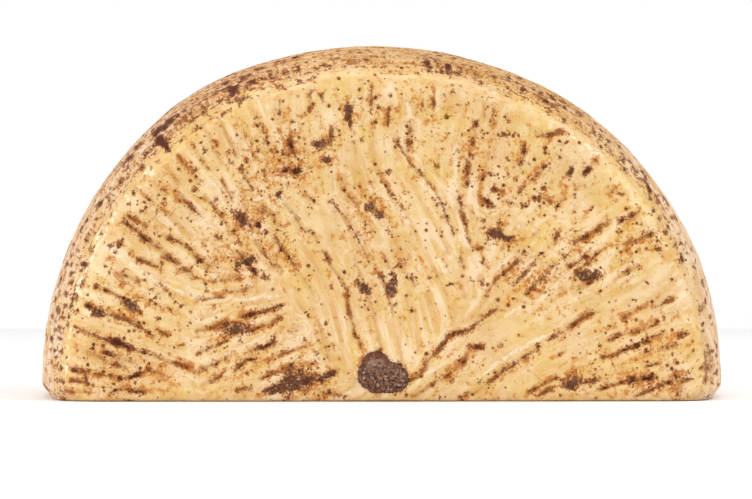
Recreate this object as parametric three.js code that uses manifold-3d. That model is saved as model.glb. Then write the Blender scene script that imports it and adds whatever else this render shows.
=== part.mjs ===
// Half a wheel of hard ewe's-milk cheese with truffle, standing on its cut face.
// Units are millimetres and +Z is up. The origin is the middle of the cut face, on the surface that
// the cheese stands on. The wheel's axis runs along Y, and the basket-marked face looks along -Y.

import * as THREE from 'three';
import { mergeVertices } from 'three/addons/utils/BufferGeometryUtils.js';
import Module from 'manifold-3d';

const wasm = await Module();
wasm.setup();

// Driving dimensions

const wheel = {
  radius: 110,
  thickness: 128,
  axisHeight: 3.5, // the knife passed this far below the wheel's axis
  rimBulge: 4.5, // how far the rim's middle stands out past the ends of its barrel curve
  shoulderRadius: 14,
  faceDome: 1,
  cornerLoss: 2.5, // the two corners where the rim meets the cut are rubbed down by this much
  cornerHeight: 4.5,
};

// The wheel isn't quite round: angles in degrees from the right end of the cut.
const swellings = [
  { angle: 130, width: 26, height: 2.1 },
  { angle: 38, width: 20, height: 0.6 },
  { angle: 88, width: 16, height: -0.8 },
];

const grid = {
  half: 12, // cells from the middle of the cut to its end
  shoulderSteps: 5,
  barrelSteps: 6,
  firstRow: 0.042, // height of the row of cells next to the cut, as a part of the radius
};

// A basket mark is a tapered groove that a rush left in the young cheese.
const marks = {
  length: [20, 40],
  shortest: 9,
  gap: [1, 3],
  halfWidth: [0.7, 1.1],
  depth: [0.6, 1],
  stations: 3,
  tipLift: 0.3, // a cutter's two tips stand this part of its depth above the skin
  edgeMargin: 1.5, // marks stop this far inside the edge of a face
  cutMargin: 3, // and this far above the cut
  sharpTurn: 0.94, // a line ends where its slope would turn by more than this cosine in one step
  longestLine: 60, // steps each way
  stepsPerPitch: 3,
  closest: 0.72, // a line ends this part of the pitch from another
  seedGap: 0.98, // and starts no nearer than this
};

const frontMarks = { seed: 7, pitch: 6.1 };
const backMarks = { seed: 23, pitch: 7.8 };

// The rim has shallow marks that run round it, in rows.
const rimMarks = {
  seed: 41,
  rows: 6,
  length: [18, 42],
  gap: [12, 60],
  halfWidth: [0.6, 0.9],
  depth: [0.4, 0.7],
  wander: 3, // a mark may lie this much off its row
};

// Bundles of rushes on the front face: x and z of a bundle's middle, and the slope of its marks in degrees.
const rushBundles = [
  [-23, 94, 96], [-4, 94, 91], [9, 86, 86], [19, 93, 80], [33, 84, 77], [27, 70, 82], [41, 82, 74],
  [47, 66, 52], [53, 62, 42], [59, 74, 8], [71, 57, 42], [83, 44, 34], [65, 46, 44], [59, 34, 36],
  [79, 30, 28], [89, 20, 20], [83, 4, 22], [67, 6, 16], [55, 23, 33], [35, 10, 35], [17, 5, 38],
  [45, 42, 42], [36, 34, 46], [27, 51, -67], [14, 58, -62], [19, 43, -62], [5, 60, -57], [5, 40, -66],
  [3, 24, -78], [-15, 24, -74], [-13, 34, -72], [-11, 52, -60], [-26, 50, -55], [-29, 34, -58],
  [-39, 50, -55], [-47, 63, -58], [-59, 68, -50], [-39, 72, -64], [-49, 82, -64], [-21, 78, -82],
  [-53, 42, -50], [-64, 46, -44], [-75, 50, -37], [-81, 56, -38], [-67, 34, -30], [-69, 24, -20],
  [-87, 31, -18], [-87, 18, -22], [-71, 13, -21], [-61, 12, -20], [-59, 8, -16], [-89, 8, -10],
  [-79, 3, -8], [-47, 27, 18], [-35, 26, 20], [-39, 36, 14], [-47, 17, 23], [-37, 14, 26],
  [-51, 8, 27], [-29, 6, 12],
];
const backTurn = 28; // the back face carries the same weave, seen from behind and turned by this many degrees

const plug = {
  x: -1,
  z: 8.3,
  radius: 6.5,
  waves: [
    // times round the plug, height, phase
    [2, 1.2, 0.85], [3, 0.7, 0.69], [4, 0.17, -1.03], [5, 0.19, 3.05],
  ],
  depth: 9,
  backScale: 0.9, // the plug is a little narrower at its back
  proud: 0.8, // how far the grains stand out of the cheese
  dome: 0.9,
  grain: 0.7,
  graininess: 0.3, // the part of a grain's height that is sunk rather than raised
  gap: 0.3,
  sides: 36,
  frontRings: 7,
  lip: 0.3, // the walls of plug and pocket start this far behind the mouth
  shoulder: 0.94, // scale of the front's last ring of grains
  backRound: 1,
  clearance: 3, // basket marks keep this far away
  reachOut: 5, // the pocket's cutter starts this far in front of the face
  seed: 5,
};

const rindMaterial = new THREE.MeshStandardMaterial({ color: 0xe9c384, roughness: 0.42, metalness: 0 });
const truffleMaterial = new THREE.MeshStandardMaterial({ color: 0x4a3a34, roughness: 0.6, metalness: 0 });

// Small helpers

const degree = Math.PI / 180;

function seededRandom(seed) {
  let state = seed >>> 0;
  return () => {
    state = (Math.imul(state, 1664525) + 1013904223) >>> 0;
    return state / 4294967296;
  };
}

function between(random, [low, high]) {
  return low + (high - low) * random();
}

function hump(distance, width) {
  return Math.exp(-((distance / width) ** 2));
}

function smoothStep(value) {
  const t = Math.min(1, Math.max(0, value));
  return t * t * (3 - 2 * t);
}

// The wheel's meridian: a flat face, a round shoulder, the barrel of the rim, and back again.

const faceY = wheel.thickness / 2 - wheel.faceDome;
const faceInset = wheel.rimBulge + wheel.shoulderRadius;
const barrelRadius =
  (faceInset ** 2 - wheel.shoulderRadius ** 2 + (faceY - wheel.shoulderRadius) ** 2) / (2 * wheel.rimBulge);
const barrelAngle = Math.asin((faceY - wheel.shoulderRadius) / (barrelRadius - wheel.shoulderRadius));

function meridian() {
  const rows = [];
  const quarter = Math.PI / 2 - barrelAngle;
  for (let i = 0; i < grid.shoulderSteps; i++) {
    const turn = (quarter * i) / grid.shoulderSteps;
    rows.push({
      inset: faceInset - wheel.shoulderRadius * Math.sin(turn),
      y: -faceY + wheel.shoulderRadius * (1 - Math.cos(turn)),
    });
  }
  for (let i = 0; i <= grid.barrelSteps; i++) {
    const turn = barrelAngle * ((2 * i) / grid.barrelSteps - 1);
    rows.push({ inset: barrelRadius * (1 - Math.cos(turn)), y: barrelRadius * Math.sin(turn) });
  }
  for (let i = grid.shoulderSteps - 1; i >= 0; i--) {
    rows.push({ inset: rows[i].inset, y: -rows[i].y });
  }
  return rows;
}

// Distance from the middle of the cut to the widest part of the rim, at an angle above the cut.
function outlineRadius(angle) {
  const rise = wheel.axisHeight * Math.sin(angle);
  let radius = rise + Math.sqrt(wheel.radius ** 2 - (wheel.axisHeight * Math.cos(angle)) ** 2);
  for (const swelling of swellings) {
    radius += swelling.height * hump(angle / degree - swelling.angle, swelling.width);
  }
  const aboveCut = Math.min(angle, Math.PI - angle) * wheel.radius;
  return radius - wheel.cornerLoss * (1 - smoothStep(aboveCut / wheel.cornerHeight));
}

// The rim's soft unevenness dies out at both shoulders.
function rimRadius(angle, row) {
  const inside = 1 - (row.y / faceY) ** 2;
  const uneven = 0.5 * Math.sin(7 * angle + 0.05 * row.y) * Math.cos(0.07 * row.y + 3 * angle);
  return outlineRadius(angle) - row.inset + inside * uneven;
}

// How far a face stands out past its edge, at a fraction of the way from the middle to the edge.
function faceHeight(fraction, angle) {
  const reach = fraction * wheel.radius;
  const wave = 0.45 * Math.sin(0.09 * reach * Math.cos(angle) + 1) * Math.sin(0.11 * reach * Math.sin(angle) + 0.4);
  return wheel.faceDome * (1 - fraction ** 2) + wave * (1 - fraction ** 4);
}

function facePoint(fraction, angle, side) {
  const radius = fraction * (outlineRadius(angle) - faceInset);
  return new THREE.Vector3(
    radius * Math.cos(angle),
    side * (faceY + faceHeight(fraction, angle)),
    radius * Math.sin(angle),
  );
}

function faceFraction(x, z) {
  return Math.hypot(x, z) / (outlineRadius(Math.atan2(z, x)) - faceInset);
}

function rimPoint(angle, row) {
  const radius = rimRadius(angle, row);
  return new THREE.Vector3(radius * Math.cos(angle), row.y, radius * Math.sin(angle));
}

// A half square becomes a half disc without bunching its cells up in the middle.
function halfDisc(p, q) {
  if (p === 0 && q === 0) return { fraction: 0, angle: Math.PI / 2 };
  if (Math.abs(p) > q) {
    const turn = (Math.PI / 4) * (q / Math.abs(p));
    return { fraction: Math.abs(p), angle: p > 0 ? turn : Math.PI - turn };
  }
  return { fraction: q, angle: Math.PI / 2 - (Math.PI / 4) * (p / q) };
}

// One patch of a closed skin: a grid of cells, each of two triangles.
function addPatch(positions, columns, rows, pointAt, flipped) {
  for (let i = 0; i < columns; i++) {
    for (let j = 0; j < rows; j++) {
      const corners = [pointAt(i, j), pointAt(i + 1, j), pointAt(i + 1, j + 1), pointAt(i, j + 1)];
      if (flipped) corners.reverse();
      for (const k of [0, 1, 2, 0, 2, 3]) positions.push(...corners[k].toArray());
    }
  }
}

function wheelGeometry() {
  const n = grid.half;
  const rows = meridian();
  const last = rows.length - 1;
  const height = (j) => (j === 0 ? 0 : grid.firstRow + ((1 - grid.firstRow) * (j - 1)) / (n - 1));
  const across = (i) => i / n - 1;
  const aroundAngle = (k) => {
    if (k <= n) return halfDisc(1, height(k)).angle;
    if (k < 3 * n) return halfDisc(2 - k / n, 1).angle;
    return halfDisc(-1, height(4 * n - k)).angle;
  };
  const faceAt = (side) => (i, j) => {
    const spot = halfDisc(across(i), height(j));
    return facePoint(spot.fraction, spot.angle, side);
  };
  const cutAt = (i, j) => {
    const p = across(i);
    const angle = p < 0 ? Math.PI : 0;
    const stretch = faceHeight(Math.abs(p), angle) * (rows[j].y / faceY);
    return new THREE.Vector3(p * rimRadius(angle, rows[j]), rows[j].y + stretch, 0);
  };
  const positions = [];
  addPatch(positions, 2 * n, n, faceAt(-1), false);
  addPatch(positions, 2 * n, n, faceAt(1), true);
  addPatch(positions, 4 * n, last, (k, j) => rimPoint(aroundAngle(k), rows[j]), true);
  addPatch(positions, 2 * n, last, cutAt, true);
  const geometry = new THREE.BufferGeometry();
  geometry.setAttribute('position', new THREE.Float32BufferAttribute(positions, 3));
  return mergeVertices(geometry, 1e-3);
}

// Basket marks

// The nearest bundles decide the slope, and it turns smoothly from one bundle to the next.
function slopeAt(x, z, bundles) {
  let cosine = 0;
  let sine = 0;
  for (const [bundleX, bundleZ, slope] of bundles) {
    const weight = 1 / (((x - bundleX) ** 2 + (z - bundleZ) ** 2) ** 2 + 1);
    cosine += weight * Math.cos(2 * slope * degree);
    sine += weight * Math.sin(2 * slope * degree);
  }
  return 0.5 * Math.atan2(sine, cosine);
}

// Lines laid along the bundles at an even spacing, each one started beside a line already there.
function layLines(pitch, bundles) {
  const step = pitch / marks.stepsPerPitch;
  const lines = [];
  const near = (x, z, reach) => lines.some((line) => line.some((p) => Math.hypot(p[0] - x, p[1] - z) < reach));
  const follow = (startX, startZ, way) => {
    const points = [];
    let heading = slopeAt(startX, startZ, bundles) + (way < 0 ? Math.PI : 0);
    let x = startX;
    let z = startZ;
    while (points.length < marks.longestLine) {
      let next = slopeAt(x, z, bundles);
      if (Math.cos(next - heading) < 0) next += Math.PI;
      if (Math.cos(next - heading) < marks.sharpTurn) break;
      heading = next;
      x += step * Math.cos(heading);
      z += step * Math.sin(heading);
      if (!takesMarks(x, z) || near(x, z, marks.closest * pitch)) break;
      points.push([x, z]);
    }
    return points;
  };
  const seeds = bundles.map(([x, z]) => [x, z]);
  while (seeds.length > 0) {
    const [x, z] = seeds.shift();
    if (!takesMarks(x, z) || near(x, z, marks.seedGap * pitch)) continue;
    const line = [...follow(x, z, -1).reverse(), [x, z], ...follow(x, z, 1)];
    lines.push(line);
    for (const [px, pz] of line) {
      const slope = slopeAt(px, pz, bundles);
      seeds.push([px - pitch * Math.sin(slope), pz + pitch * Math.cos(slope)]);
      seeds.push([px + pitch * Math.sin(slope), pz - pitch * Math.cos(slope)]);
    }
  }
  return lines.map((points) => ({ points, step }));
}

// The part of a face that a mark may lie on.
function takesMarks(x, z) {
  const reach = 1 - marks.edgeMargin / wheel.radius;
  const besidePlug = Math.hypot(x - plug.x, z - plug.z) - plugRadius(Math.atan2(z - plug.z, x - plug.x));
  return z > marks.cutMargin && faceFraction(x, z) < reach && besidePlug > plug.clearance;
}

// Each line is broken into marks of uneven length, with short gaps between them.
function faceMarks({ seed, pitch }, bundles) {
  const random = seededRandom(seed);
  const found = [];
  for (const { points, step } of layLines(pitch, bundles)) {
    let start = Math.floor(random() * 2);
    while (start < points.length - 1) {
      const cells = Math.round(between(random, marks.length) / step);
      const end = Math.min(points.length - 1, start + cells);
      if ((end - start) * step >= marks.shortest) {
        const path = [];
        for (let i = 0; i <= marks.stations + 1; i++) {
          path.push(points[Math.round(start + ((end - start) * i) / (marks.stations + 1))]);
        }
        found.push({ path, halfWidth: between(random, marks.halfWidth), depth: between(random, marks.depth) });
      }
      start = end + Math.ceil(between(random, marks.gap) / step);
    }
  }
  return found;
}

function rowsOfRimMarks() {
  const random = seededRandom(rimMarks.seed);
  const found = [];
  const span = Math.PI * wheel.radius;
  for (let row = 0; row < rimMarks.rows; row++) {
    const rowY = ((2 * row + 1) / rimMarks.rows - 1) * (faceY - wheel.shoulderRadius);
    let start = between(random, rimMarks.gap);
    let length = between(random, rimMarks.length);
    while (start + length < span - marks.edgeMargin) {
      const y = rowY + rimMarks.wander * (random() - 0.5);
      const path = [];
      for (let i = 0; i <= marks.stations + 1; i++) path.push([start + (length * i) / (marks.stations + 1), y]);
      found.push({ path, halfWidth: between(random, rimMarks.halfWidth), depth: between(random, rimMarks.depth) });
      start += length + between(random, rimMarks.gap);
      length = between(random, rimMarks.length);
    }
  }
  return found;
}

// A groove's cutter is V-shaped, widest outside the skin, and runs to a point at both ends.
function grooveCutter(stations, halfWidth, depth) {
  const direction = new THREE.Vector3().subVectors(stations.at(-1).at, stations[0].at).normalize();
  const points = [];
  const faces = [];
  const add = (base, out, side, wide, high) => {
    points.push(base.clone().addScaledVector(side, wide).addScaledVector(out, high));
    return points.length - 1;
  };
  let left;
  let right;
  let bottom;
  stations.forEach(({ at, out }, i) => {
    const side = new THREE.Vector3().crossVectors(out, direction).normalize();
    if (i === 0) {
      left = add(at, out, side, 0, marks.tipLift * depth);
      right = left;
      bottom = left;
      return;
    }
    if (i === stations.length - 1) {
      const tip = add(at, out, side, 0, marks.tipLift * depth);
      faces.push([right, tip, left], [left, tip, bottom], [right, bottom, tip]);
      return;
    }
    const next = [
      add(at, out, side, 2 * halfWidth, depth),
      add(at, out, side, -2 * halfWidth, depth),
      add(at, out, side, 0, -depth),
    ];
    if (i === 1) {
      faces.push([left, next[1], next[0]], [left, next[0], next[2]], [left, next[2], next[1]]);
    } else {
      faces.push([right, next[1], next[0]], [right, next[0], left]);
      faces.push([left, next[0], next[2]], [left, next[2], bottom]);
      faces.push([right, bottom, next[2]], [right, next[2], next[1]]);
    }
    [left, right, bottom] = next;
  });
  return solidFrom(points, faces);
}

function faceCutters(found, side) {
  return found.map(({ path, halfWidth, depth }) => {
    const stations = path.map(([x, z]) => ({
      at: facePoint(faceFraction(x, z), Math.atan2(z, x), side),
      out: new THREE.Vector3(0, side, 0),
    }));
    return grooveCutter(stations, halfWidth, depth);
  });
}

function rimCutters(found) {
  return found.map(({ path, halfWidth, depth }) => {
    const stations = path.map(([along, y]) => {
      const angle = along / wheel.radius;
      const inset = barrelRadius - Math.sqrt(barrelRadius ** 2 - y ** 2);
      return { at: rimPoint(angle, { inset, y }), out: new THREE.Vector3(Math.cos(angle), 0, Math.sin(angle)) };
    });
    return grooveCutter(stations, halfWidth, depth);
  });
}

// Truffle plug: an uneven dark column, granular in front, pushed into a pocket in the face.

function plugRadius(angle) {
  return plug.waves.reduce((sum, [turns, height, phase]) => sum + height * Math.cos(turns * angle + phase), plug.radius);
}

// A point of the plug's side, moved square outwards by grow.
function plugPoint(scale, angle, y, grow) {
  const radius = plugRadius(angle);
  const slope = (plugRadius(angle + degree) - plugRadius(angle - degree)) / (2 * degree);
  const outwards = angle - Math.atan2(slope, radius);
  return new THREE.Vector3(
    plug.x + scale * radius * Math.cos(angle) + grow * Math.cos(outwards),
    y,
    plug.z + scale * radius * Math.sin(angle) + grow * Math.sin(outwards),
  );
}

// Rings from the middle of the front to the middle of the back, closed with a fan at both ends.
function ringSolid(rings, pointAt) {
  const points = [pointAt(rings[0], 0, 0)];
  const faces = [];
  for (let k = 1; k < rings.length - 1; k++) {
    for (let i = 0; i < plug.sides; i++) points.push(pointAt(rings[k], k, (i * 2 * Math.PI) / plug.sides));
  }
  points.push(pointAt(rings.at(-1), rings.length - 1, 0));
  const index = (k, i) => 1 + (k - 1) * plug.sides + (i % plug.sides);
  for (let i = 0; i < plug.sides; i++) {
    faces.push([0, index(1, i), index(1, i + 1)]);
    for (let k = 1; k < rings.length - 2; k++) {
      faces.push([index(k, i), index(k + 1, i), index(k + 1, i + 1)]);
      faces.push([index(k, i), index(k + 1, i + 1), index(k, i + 1)]);
    }
    faces.push([points.length - 1, index(rings.length - 2, i + 1), index(rings.length - 2, i)]);
  }
  return solidFrom(points, faces);
}

function plugSolid(mouthY) {
  const random = seededRandom(plug.seed);
  const rings = [];
  for (let k = 0; k <= plug.frontRings; k++) {
    const scale = k / plug.frontRings;
    const y = mouthY - plug.proud - plug.dome * (1 - scale ** 3);
    rings.push({ scale: plug.shoulder * scale, y, rough: plug.grain });
  }
  const backY = mouthY + plug.depth;
  rings.push({ scale: 1, y: mouthY + plug.lip, rough: 0 });
  rings.push({ scale: plug.backScale, y: backY - plug.backRound, rough: 0 });
  rings.push({ scale: plug.backScale - plug.backRound / plug.radius, y: backY, rough: 0 });
  rings.push({ scale: 0, y: backY, rough: 0 });
  return ringSolid(rings, (ring, k, angle) => {
    const point = plugPoint(ring.scale, angle, ring.y, 0);
    point.y += ring.rough * (random() - plug.graininess);
    return point;
  });
}

function pocketSolid(mouthY) {
  const backY = mouthY + plug.depth + plug.gap;
  const rings = [
    { scale: 0, y: mouthY - plug.reachOut },
    { scale: 1, y: mouthY - plug.reachOut },
    { scale: 1, y: mouthY + plug.lip },
    { scale: plug.backScale, y: backY },
    { scale: 0, y: backY },
  ];
  return ringSolid(rings, (ring, k, angle) => plugPoint(ring.scale, angle, ring.y, 1.1 * plug.gap));
}

// Between three.js meshes and closed solids

function solidFrom(points, faces) {
  return new wasm.Manifold(
    new wasm.Mesh({
      numProp: 3,
      vertProperties: new Float32Array(points.flatMap((point) => point.toArray())),
      triVerts: new Uint32Array(faces.flat()),
    }),
  );
}

function solidFromGeometry(geometry) {
  return new wasm.Manifold(
    new wasm.Mesh({
      numProp: 3,
      vertProperties: new Float32Array(geometry.attributes.position.array),
      triVerts: new Uint32Array(geometry.index.array),
    }),
  );
}

function meshOf(name, solid, material) {
  const { vertProperties, triVerts } = solid.getMesh();
  const geometry = new THREE.BufferGeometry();
  geometry.setAttribute('position', new THREE.BufferAttribute(new Float32Array(vertProperties), 3));
  geometry.setIndex(new THREE.BufferAttribute(new Uint32Array(triVerts), 1));
  geometry.computeVertexNormals();
  const mesh = new THREE.Mesh(geometry, material);
  mesh.name = name;
  return mesh;
}

// The half wheel

const turned = backTurn * degree;
const backBundles = rushBundles.map(([x, z, slope]) => [
  -x * Math.cos(turned) - z * Math.sin(turned),
  -x * Math.sin(turned) + z * Math.cos(turned),
  180 - slope + backTurn,
]);

const plugFraction = faceFraction(plug.x, plug.z);
const plugMouthY = facePoint(plugFraction, Math.atan2(plug.z, plug.x), -1).y;

const cutters = [
  ...faceCutters(faceMarks(frontMarks, rushBundles), -1),
  ...faceCutters(faceMarks(backMarks, backBundles), 1),
  ...rimCutters(rowsOfRimMarks()),
  pocketSolid(plugMouthY),
];
const cheese = wasm.Manifold.difference([solidFromGeometry(wheelGeometry()), ...cutters]);

const halfWheel = new THREE.Group();
halfWheel.add(meshOf('cheese', cheese, rindMaterial));
halfWheel.add(meshOf('truffle_plug', plugSolid(plugMouthY), truffleMaterial));

// The box of the whole is centred on the origin, and the cut face lies at z = 0.
const box = new THREE.Box3().setFromObject(halfWheel);
const middle = box.getCenter(new THREE.Vector3());
halfWheel.position.set(-middle.x, -middle.y, 0);

export default halfWheel;
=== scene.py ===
import math
import bmesh
import bpy
import numpy as np
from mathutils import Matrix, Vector, geometry


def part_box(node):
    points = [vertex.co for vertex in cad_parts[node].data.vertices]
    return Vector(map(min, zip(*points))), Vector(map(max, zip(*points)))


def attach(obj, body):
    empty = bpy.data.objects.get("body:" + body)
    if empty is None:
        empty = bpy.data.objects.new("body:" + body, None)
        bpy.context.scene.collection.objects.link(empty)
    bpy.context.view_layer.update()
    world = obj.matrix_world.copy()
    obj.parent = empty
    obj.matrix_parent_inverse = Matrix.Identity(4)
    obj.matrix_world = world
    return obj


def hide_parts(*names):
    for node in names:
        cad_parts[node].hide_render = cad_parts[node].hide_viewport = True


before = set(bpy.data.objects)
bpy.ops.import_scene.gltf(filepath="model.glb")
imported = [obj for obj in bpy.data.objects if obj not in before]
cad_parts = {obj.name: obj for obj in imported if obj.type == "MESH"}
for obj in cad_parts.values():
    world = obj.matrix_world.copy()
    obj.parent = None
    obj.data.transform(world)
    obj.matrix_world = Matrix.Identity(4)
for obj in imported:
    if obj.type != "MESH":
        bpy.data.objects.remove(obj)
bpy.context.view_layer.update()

print("frame loaded:", sorted(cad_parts))

# Half a wheel of basket-marked cheese with truffle, standing on its cut. Lengths are in millimetres until
# a mesh is made. The wheel's axis runs along y and the marked face looks along -y.

millimetre = 0.001

wheel = {
    "radius": 110.0,
    "thickness": 128.0,
    "axisHeight": 3.5,      # the knife passed this far below the axis
    "rimBulge": 4.5,
    "shoulderRadius": 14.0,
    "faceDome": 1.0,
    "faceWave": 0.45,       # height of the slow waves on the faces
    "rimWave": 0.5,         # and on the rim
    "cornerLoss": 2.5,
    "cornerHeight": 4.5,
    "swellings": [(130, 26, 2.1), (38, 20, 0.6), (88, 16, -0.8)],   # angle, width, height
}

photo = {"axisX": 385.1, "cutY": 401.2, "pxPerMm": 3.183}    # where the face lies in the photo's frame

view = {
    "distance": 1.8,
    "azimuth": math.radians(-1.15),     # a touch left of square on
    "elevation": math.radians(0.5),
    "aim": (-0.0016, 0.0, 0.0471),
    "frameWidth": 752,
    "frameHeight": 499,
    "focalPx": 5526.0,                  # focal length in pixels of that frame
}
towardsCamera = np.array([
    math.sin(view["azimuth"]) * math.cos(view["elevation"]),
    -math.cos(view["azimuth"]) * math.cos(view["elevation"]),
    math.sin(view["elevation"]),
])
cameraPlace = np.array(view["aim"]) + view["distance"] * towardsCamera


def smoothStep(value):
    t = np.clip(value, 0.0, 1.0)
    return t * t * (3 - 2 * t)


def unit(value):
    return np.clip(value, 0, 1)


def ramp(value, form):      # form: where it starts, and over how much it rises
    return smoothStep((value - form[0]) / form[1])


def hump(distance, width):
    return np.exp(-((distance / width) ** 2))


def blend(values, i, j, fu, fv):    # between the entries i and j of a table, each given as low and high
    low = values[i[0], j[0]] * (1 - fu) + values[i[1], j[0]] * fu
    high = values[i[0], j[1]] * (1 - fu) + values[i[1], j[1]] * fu
    return low * (1 - fv) + high * fv


def softNoise(u, v, size, seed):    # smooth value noise from -1 to 1, blobs about `size` mm wide
    table = np.random.default_rng(seed).uniform(-1, 1, (256, 256))
    u = np.asarray(u) / size
    v = np.asarray(v) / size
    i = np.floor(u).astype(int)
    j = np.floor(v).astype(int)
    return blend(table, (i & 255, i + 1 & 255), (j & 255, j + 1 & 255), smoothStep(u - i), smoothStep(v - j))


def lineNoise(along, size, seed):
    return softNoise(along, 0 * along, size, seed)


def ruggedNoise(u, v, size, seed):  # three octaves
    return sum(share * softNoise(u, v, size / 2 ** k, seed + k) for k, share in enumerate((0.57, 0.29, 0.14)))


def newSeed(rng):
    return int(rng.integers(1e6))


# the wheel's shape

faceY = wheel["thickness"] / 2 - wheel["faceDome"]
faceInset = wheel["rimBulge"] + wheel["shoulderRadius"]
barrelRadius = (faceInset ** 2 - wheel["shoulderRadius"] ** 2 + (faceY - wheel["shoulderRadius"]) ** 2) / (
    2 * wheel["rimBulge"]
)
barrelAngle = math.asin((faceY - wheel["shoulderRadius"]) / (barrelRadius - wheel["shoulderRadius"]))
shoulderTurn = math.pi / 2 - barrelAngle
barrelEnd = barrelRadius * math.sin(barrelAngle)
shoulderArc = wheel["shoulderRadius"] * shoulderTurn
halfSection = shoulderArc + barrelRadius * barrelAngle      # from a face's edge to the middle of the rim
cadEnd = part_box("cheese")[1].y / millimetre
shiftY = cadEnd - wheel["thickness"] / 2        # the CAD box is centred, plug included


def outlineRadius(angle):
    along = wheel["axisHeight"] * np.cos(angle)
    radius = wheel["axisHeight"] * np.sin(angle) + np.sqrt(wheel["radius"] ** 2 - along ** 2)
    for centre, width, height in wheel["swellings"]:
        radius = radius + height * hump(np.degrees(angle) - centre, width)
    aboveCut = np.minimum(angle, math.pi - angle) * wheel["radius"]
    return radius - wheel["cornerLoss"] * (1 - smoothStep(aboveCut / wheel["cornerHeight"]))


def faceHeight(fraction, angle):
    reach = fraction * wheel["radius"]
    wave = np.sin(0.09 * reach * np.cos(angle) + 1) * np.sin(0.11 * reach * np.sin(angle) + 0.4)
    return wheel["faceDome"] * (1 - fraction ** 2) + wheel["faceWave"] * wave * (1 - fraction ** 4)


def rimSwell(y, angle):
    share = 1 - (y / faceY) ** 2
    return share * wheel["rimWave"] * np.sin(7 * angle + 0.05 * y) * np.cos(0.07 * y + 3 * angle)


def insetAt(x, z):      # how far inside the wheel's outline a point of the face lies
    return outlineRadius(np.arctan2(np.maximum(z, 0), x)) - np.hypot(x, z)


def section(across):        # y and inset of a point of the rim, from its distance to the front face's edge
    turn = np.clip(across / wheel["shoulderRadius"], 0, shoulderTurn)
    slope = barrelAngle - np.maximum(across - shoulderArc, 0) / barrelRadius
    bentY = -faceY + wheel["shoulderRadius"] * (1 - np.cos(turn))
    bentInset = faceInset - wheel["shoulderRadius"] * np.sin(turn)
    bent = across < shoulderArc
    return (
        np.where(bent, bentY, -barrelRadius * np.sin(slope)),
        np.where(bent, bentInset, barrelRadius * (1 - np.cos(slope))),
    )


def acrossRim(y):       # and the other way round, measured from the nearer face
    away = np.abs(y)
    bent = wheel["shoulderRadius"] * np.arccos(np.clip(1 - (faceY - away) / wheel["shoulderRadius"], -1, 1))
    return np.where(away > barrelEnd, bent, halfSection - barrelRadius * np.arcsin(away / barrelRadius))


def toFrame(x, y, z):       # where a point of the wheel shows in the photo's frame
    right = np.array([math.cos(view["azimuth"]), math.sin(view["azimuth"]), 0.0])
    up = np.cross(right, -towardsCamera)
    offset = np.stack([x * millimetre, (y + shiftY) * millimetre, z * millimetre], axis=-1) - cameraPlace
    scale = view["focalPx"] / -(offset @ towardsCamera)
    return view["frameWidth"] / 2 + scale * (offset @ right), view["frameHeight"] / 2 - scale * (offset @ up)


def halfDisc(p, q):     # a half square becomes a half disc
    beside = np.abs(p) > q
    turn = (math.pi / 4) * q / np.where(p == 0, 1, np.abs(p))
    sideAngle = np.where(p > 0, turn, math.pi - turn)
    topAngle = math.pi / 2 - (math.pi / 4) * p / np.where(q == 0, 1, q)
    return np.where(beside, np.abs(p), q), np.where(beside, sideAngle, topAngle)


# basket marks: bundles of rushes give every spot of the face a direction

rushBundles = [     # x, z of a bundle's middle, slope in degrees
    (-23, 94, 96), (-4, 94, 91), (9, 86, 86), (19, 93, 80), (33, 84, 77), (27, 70, 82), (41, 82, 74),
    (47, 66, 52), (53, 62, 42), (59, 74, 8), (71, 57, 42), (83, 44, 34), (65, 46, 44), (59, 34, 36),
    (79, 30, 28), (89, 20, 20), (83, 4, 22), (67, 6, 16), (55, 23, 33), (35, 10, 35), (17, 5, 38),
    (45, 42, 42), (36, 34, 46), (27, 51, -67), (14, 58, -62), (19, 43, -62), (5, 60, -57), (5, 40, -66),
    (3, 24, -78), (-15, 24, -74), (-13, 34, -72), (-11, 52, -60), (-26, 50, -55), (-29, 34, -58),
    (-39, 50, -55), (-47, 63, -58), (-59, 68, -50), (-39, 72, -64), (-49, 82, -64), (-21, 78, -82),
    (-53, 42, -50), (-64, 46, -44), (-75, 50, -37), (-81, 56, -38), (-67, 34, -30), (-69, 24, -20),
    (-87, 31, -18), (-87, 18, -22), (-71, 13, -21), (-61, 12, -20), (-59, 8, -16), (-89, 8, -10),
    (-79, 3, -8), (-47, 27, 18), (-35, 26, 20), (-39, 36, 14), (-47, 17, 23), (-37, 14, 26),
    (-51, 8, 27), (-29, 6, 12),
]
backTurn = 28       # degrees: the back carries the same weave, seen from behind and turned


def seenFromBehind(x, z):
    c, s = math.cos(math.radians(backTurn)), math.sin(math.radians(backTurn))
    return -x * c - z * s, -x * s + z * c


backBundles = [(*seenFromBehind(x, z), 180 - slope + backTurn) for x, z, slope in rushBundles]

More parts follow.
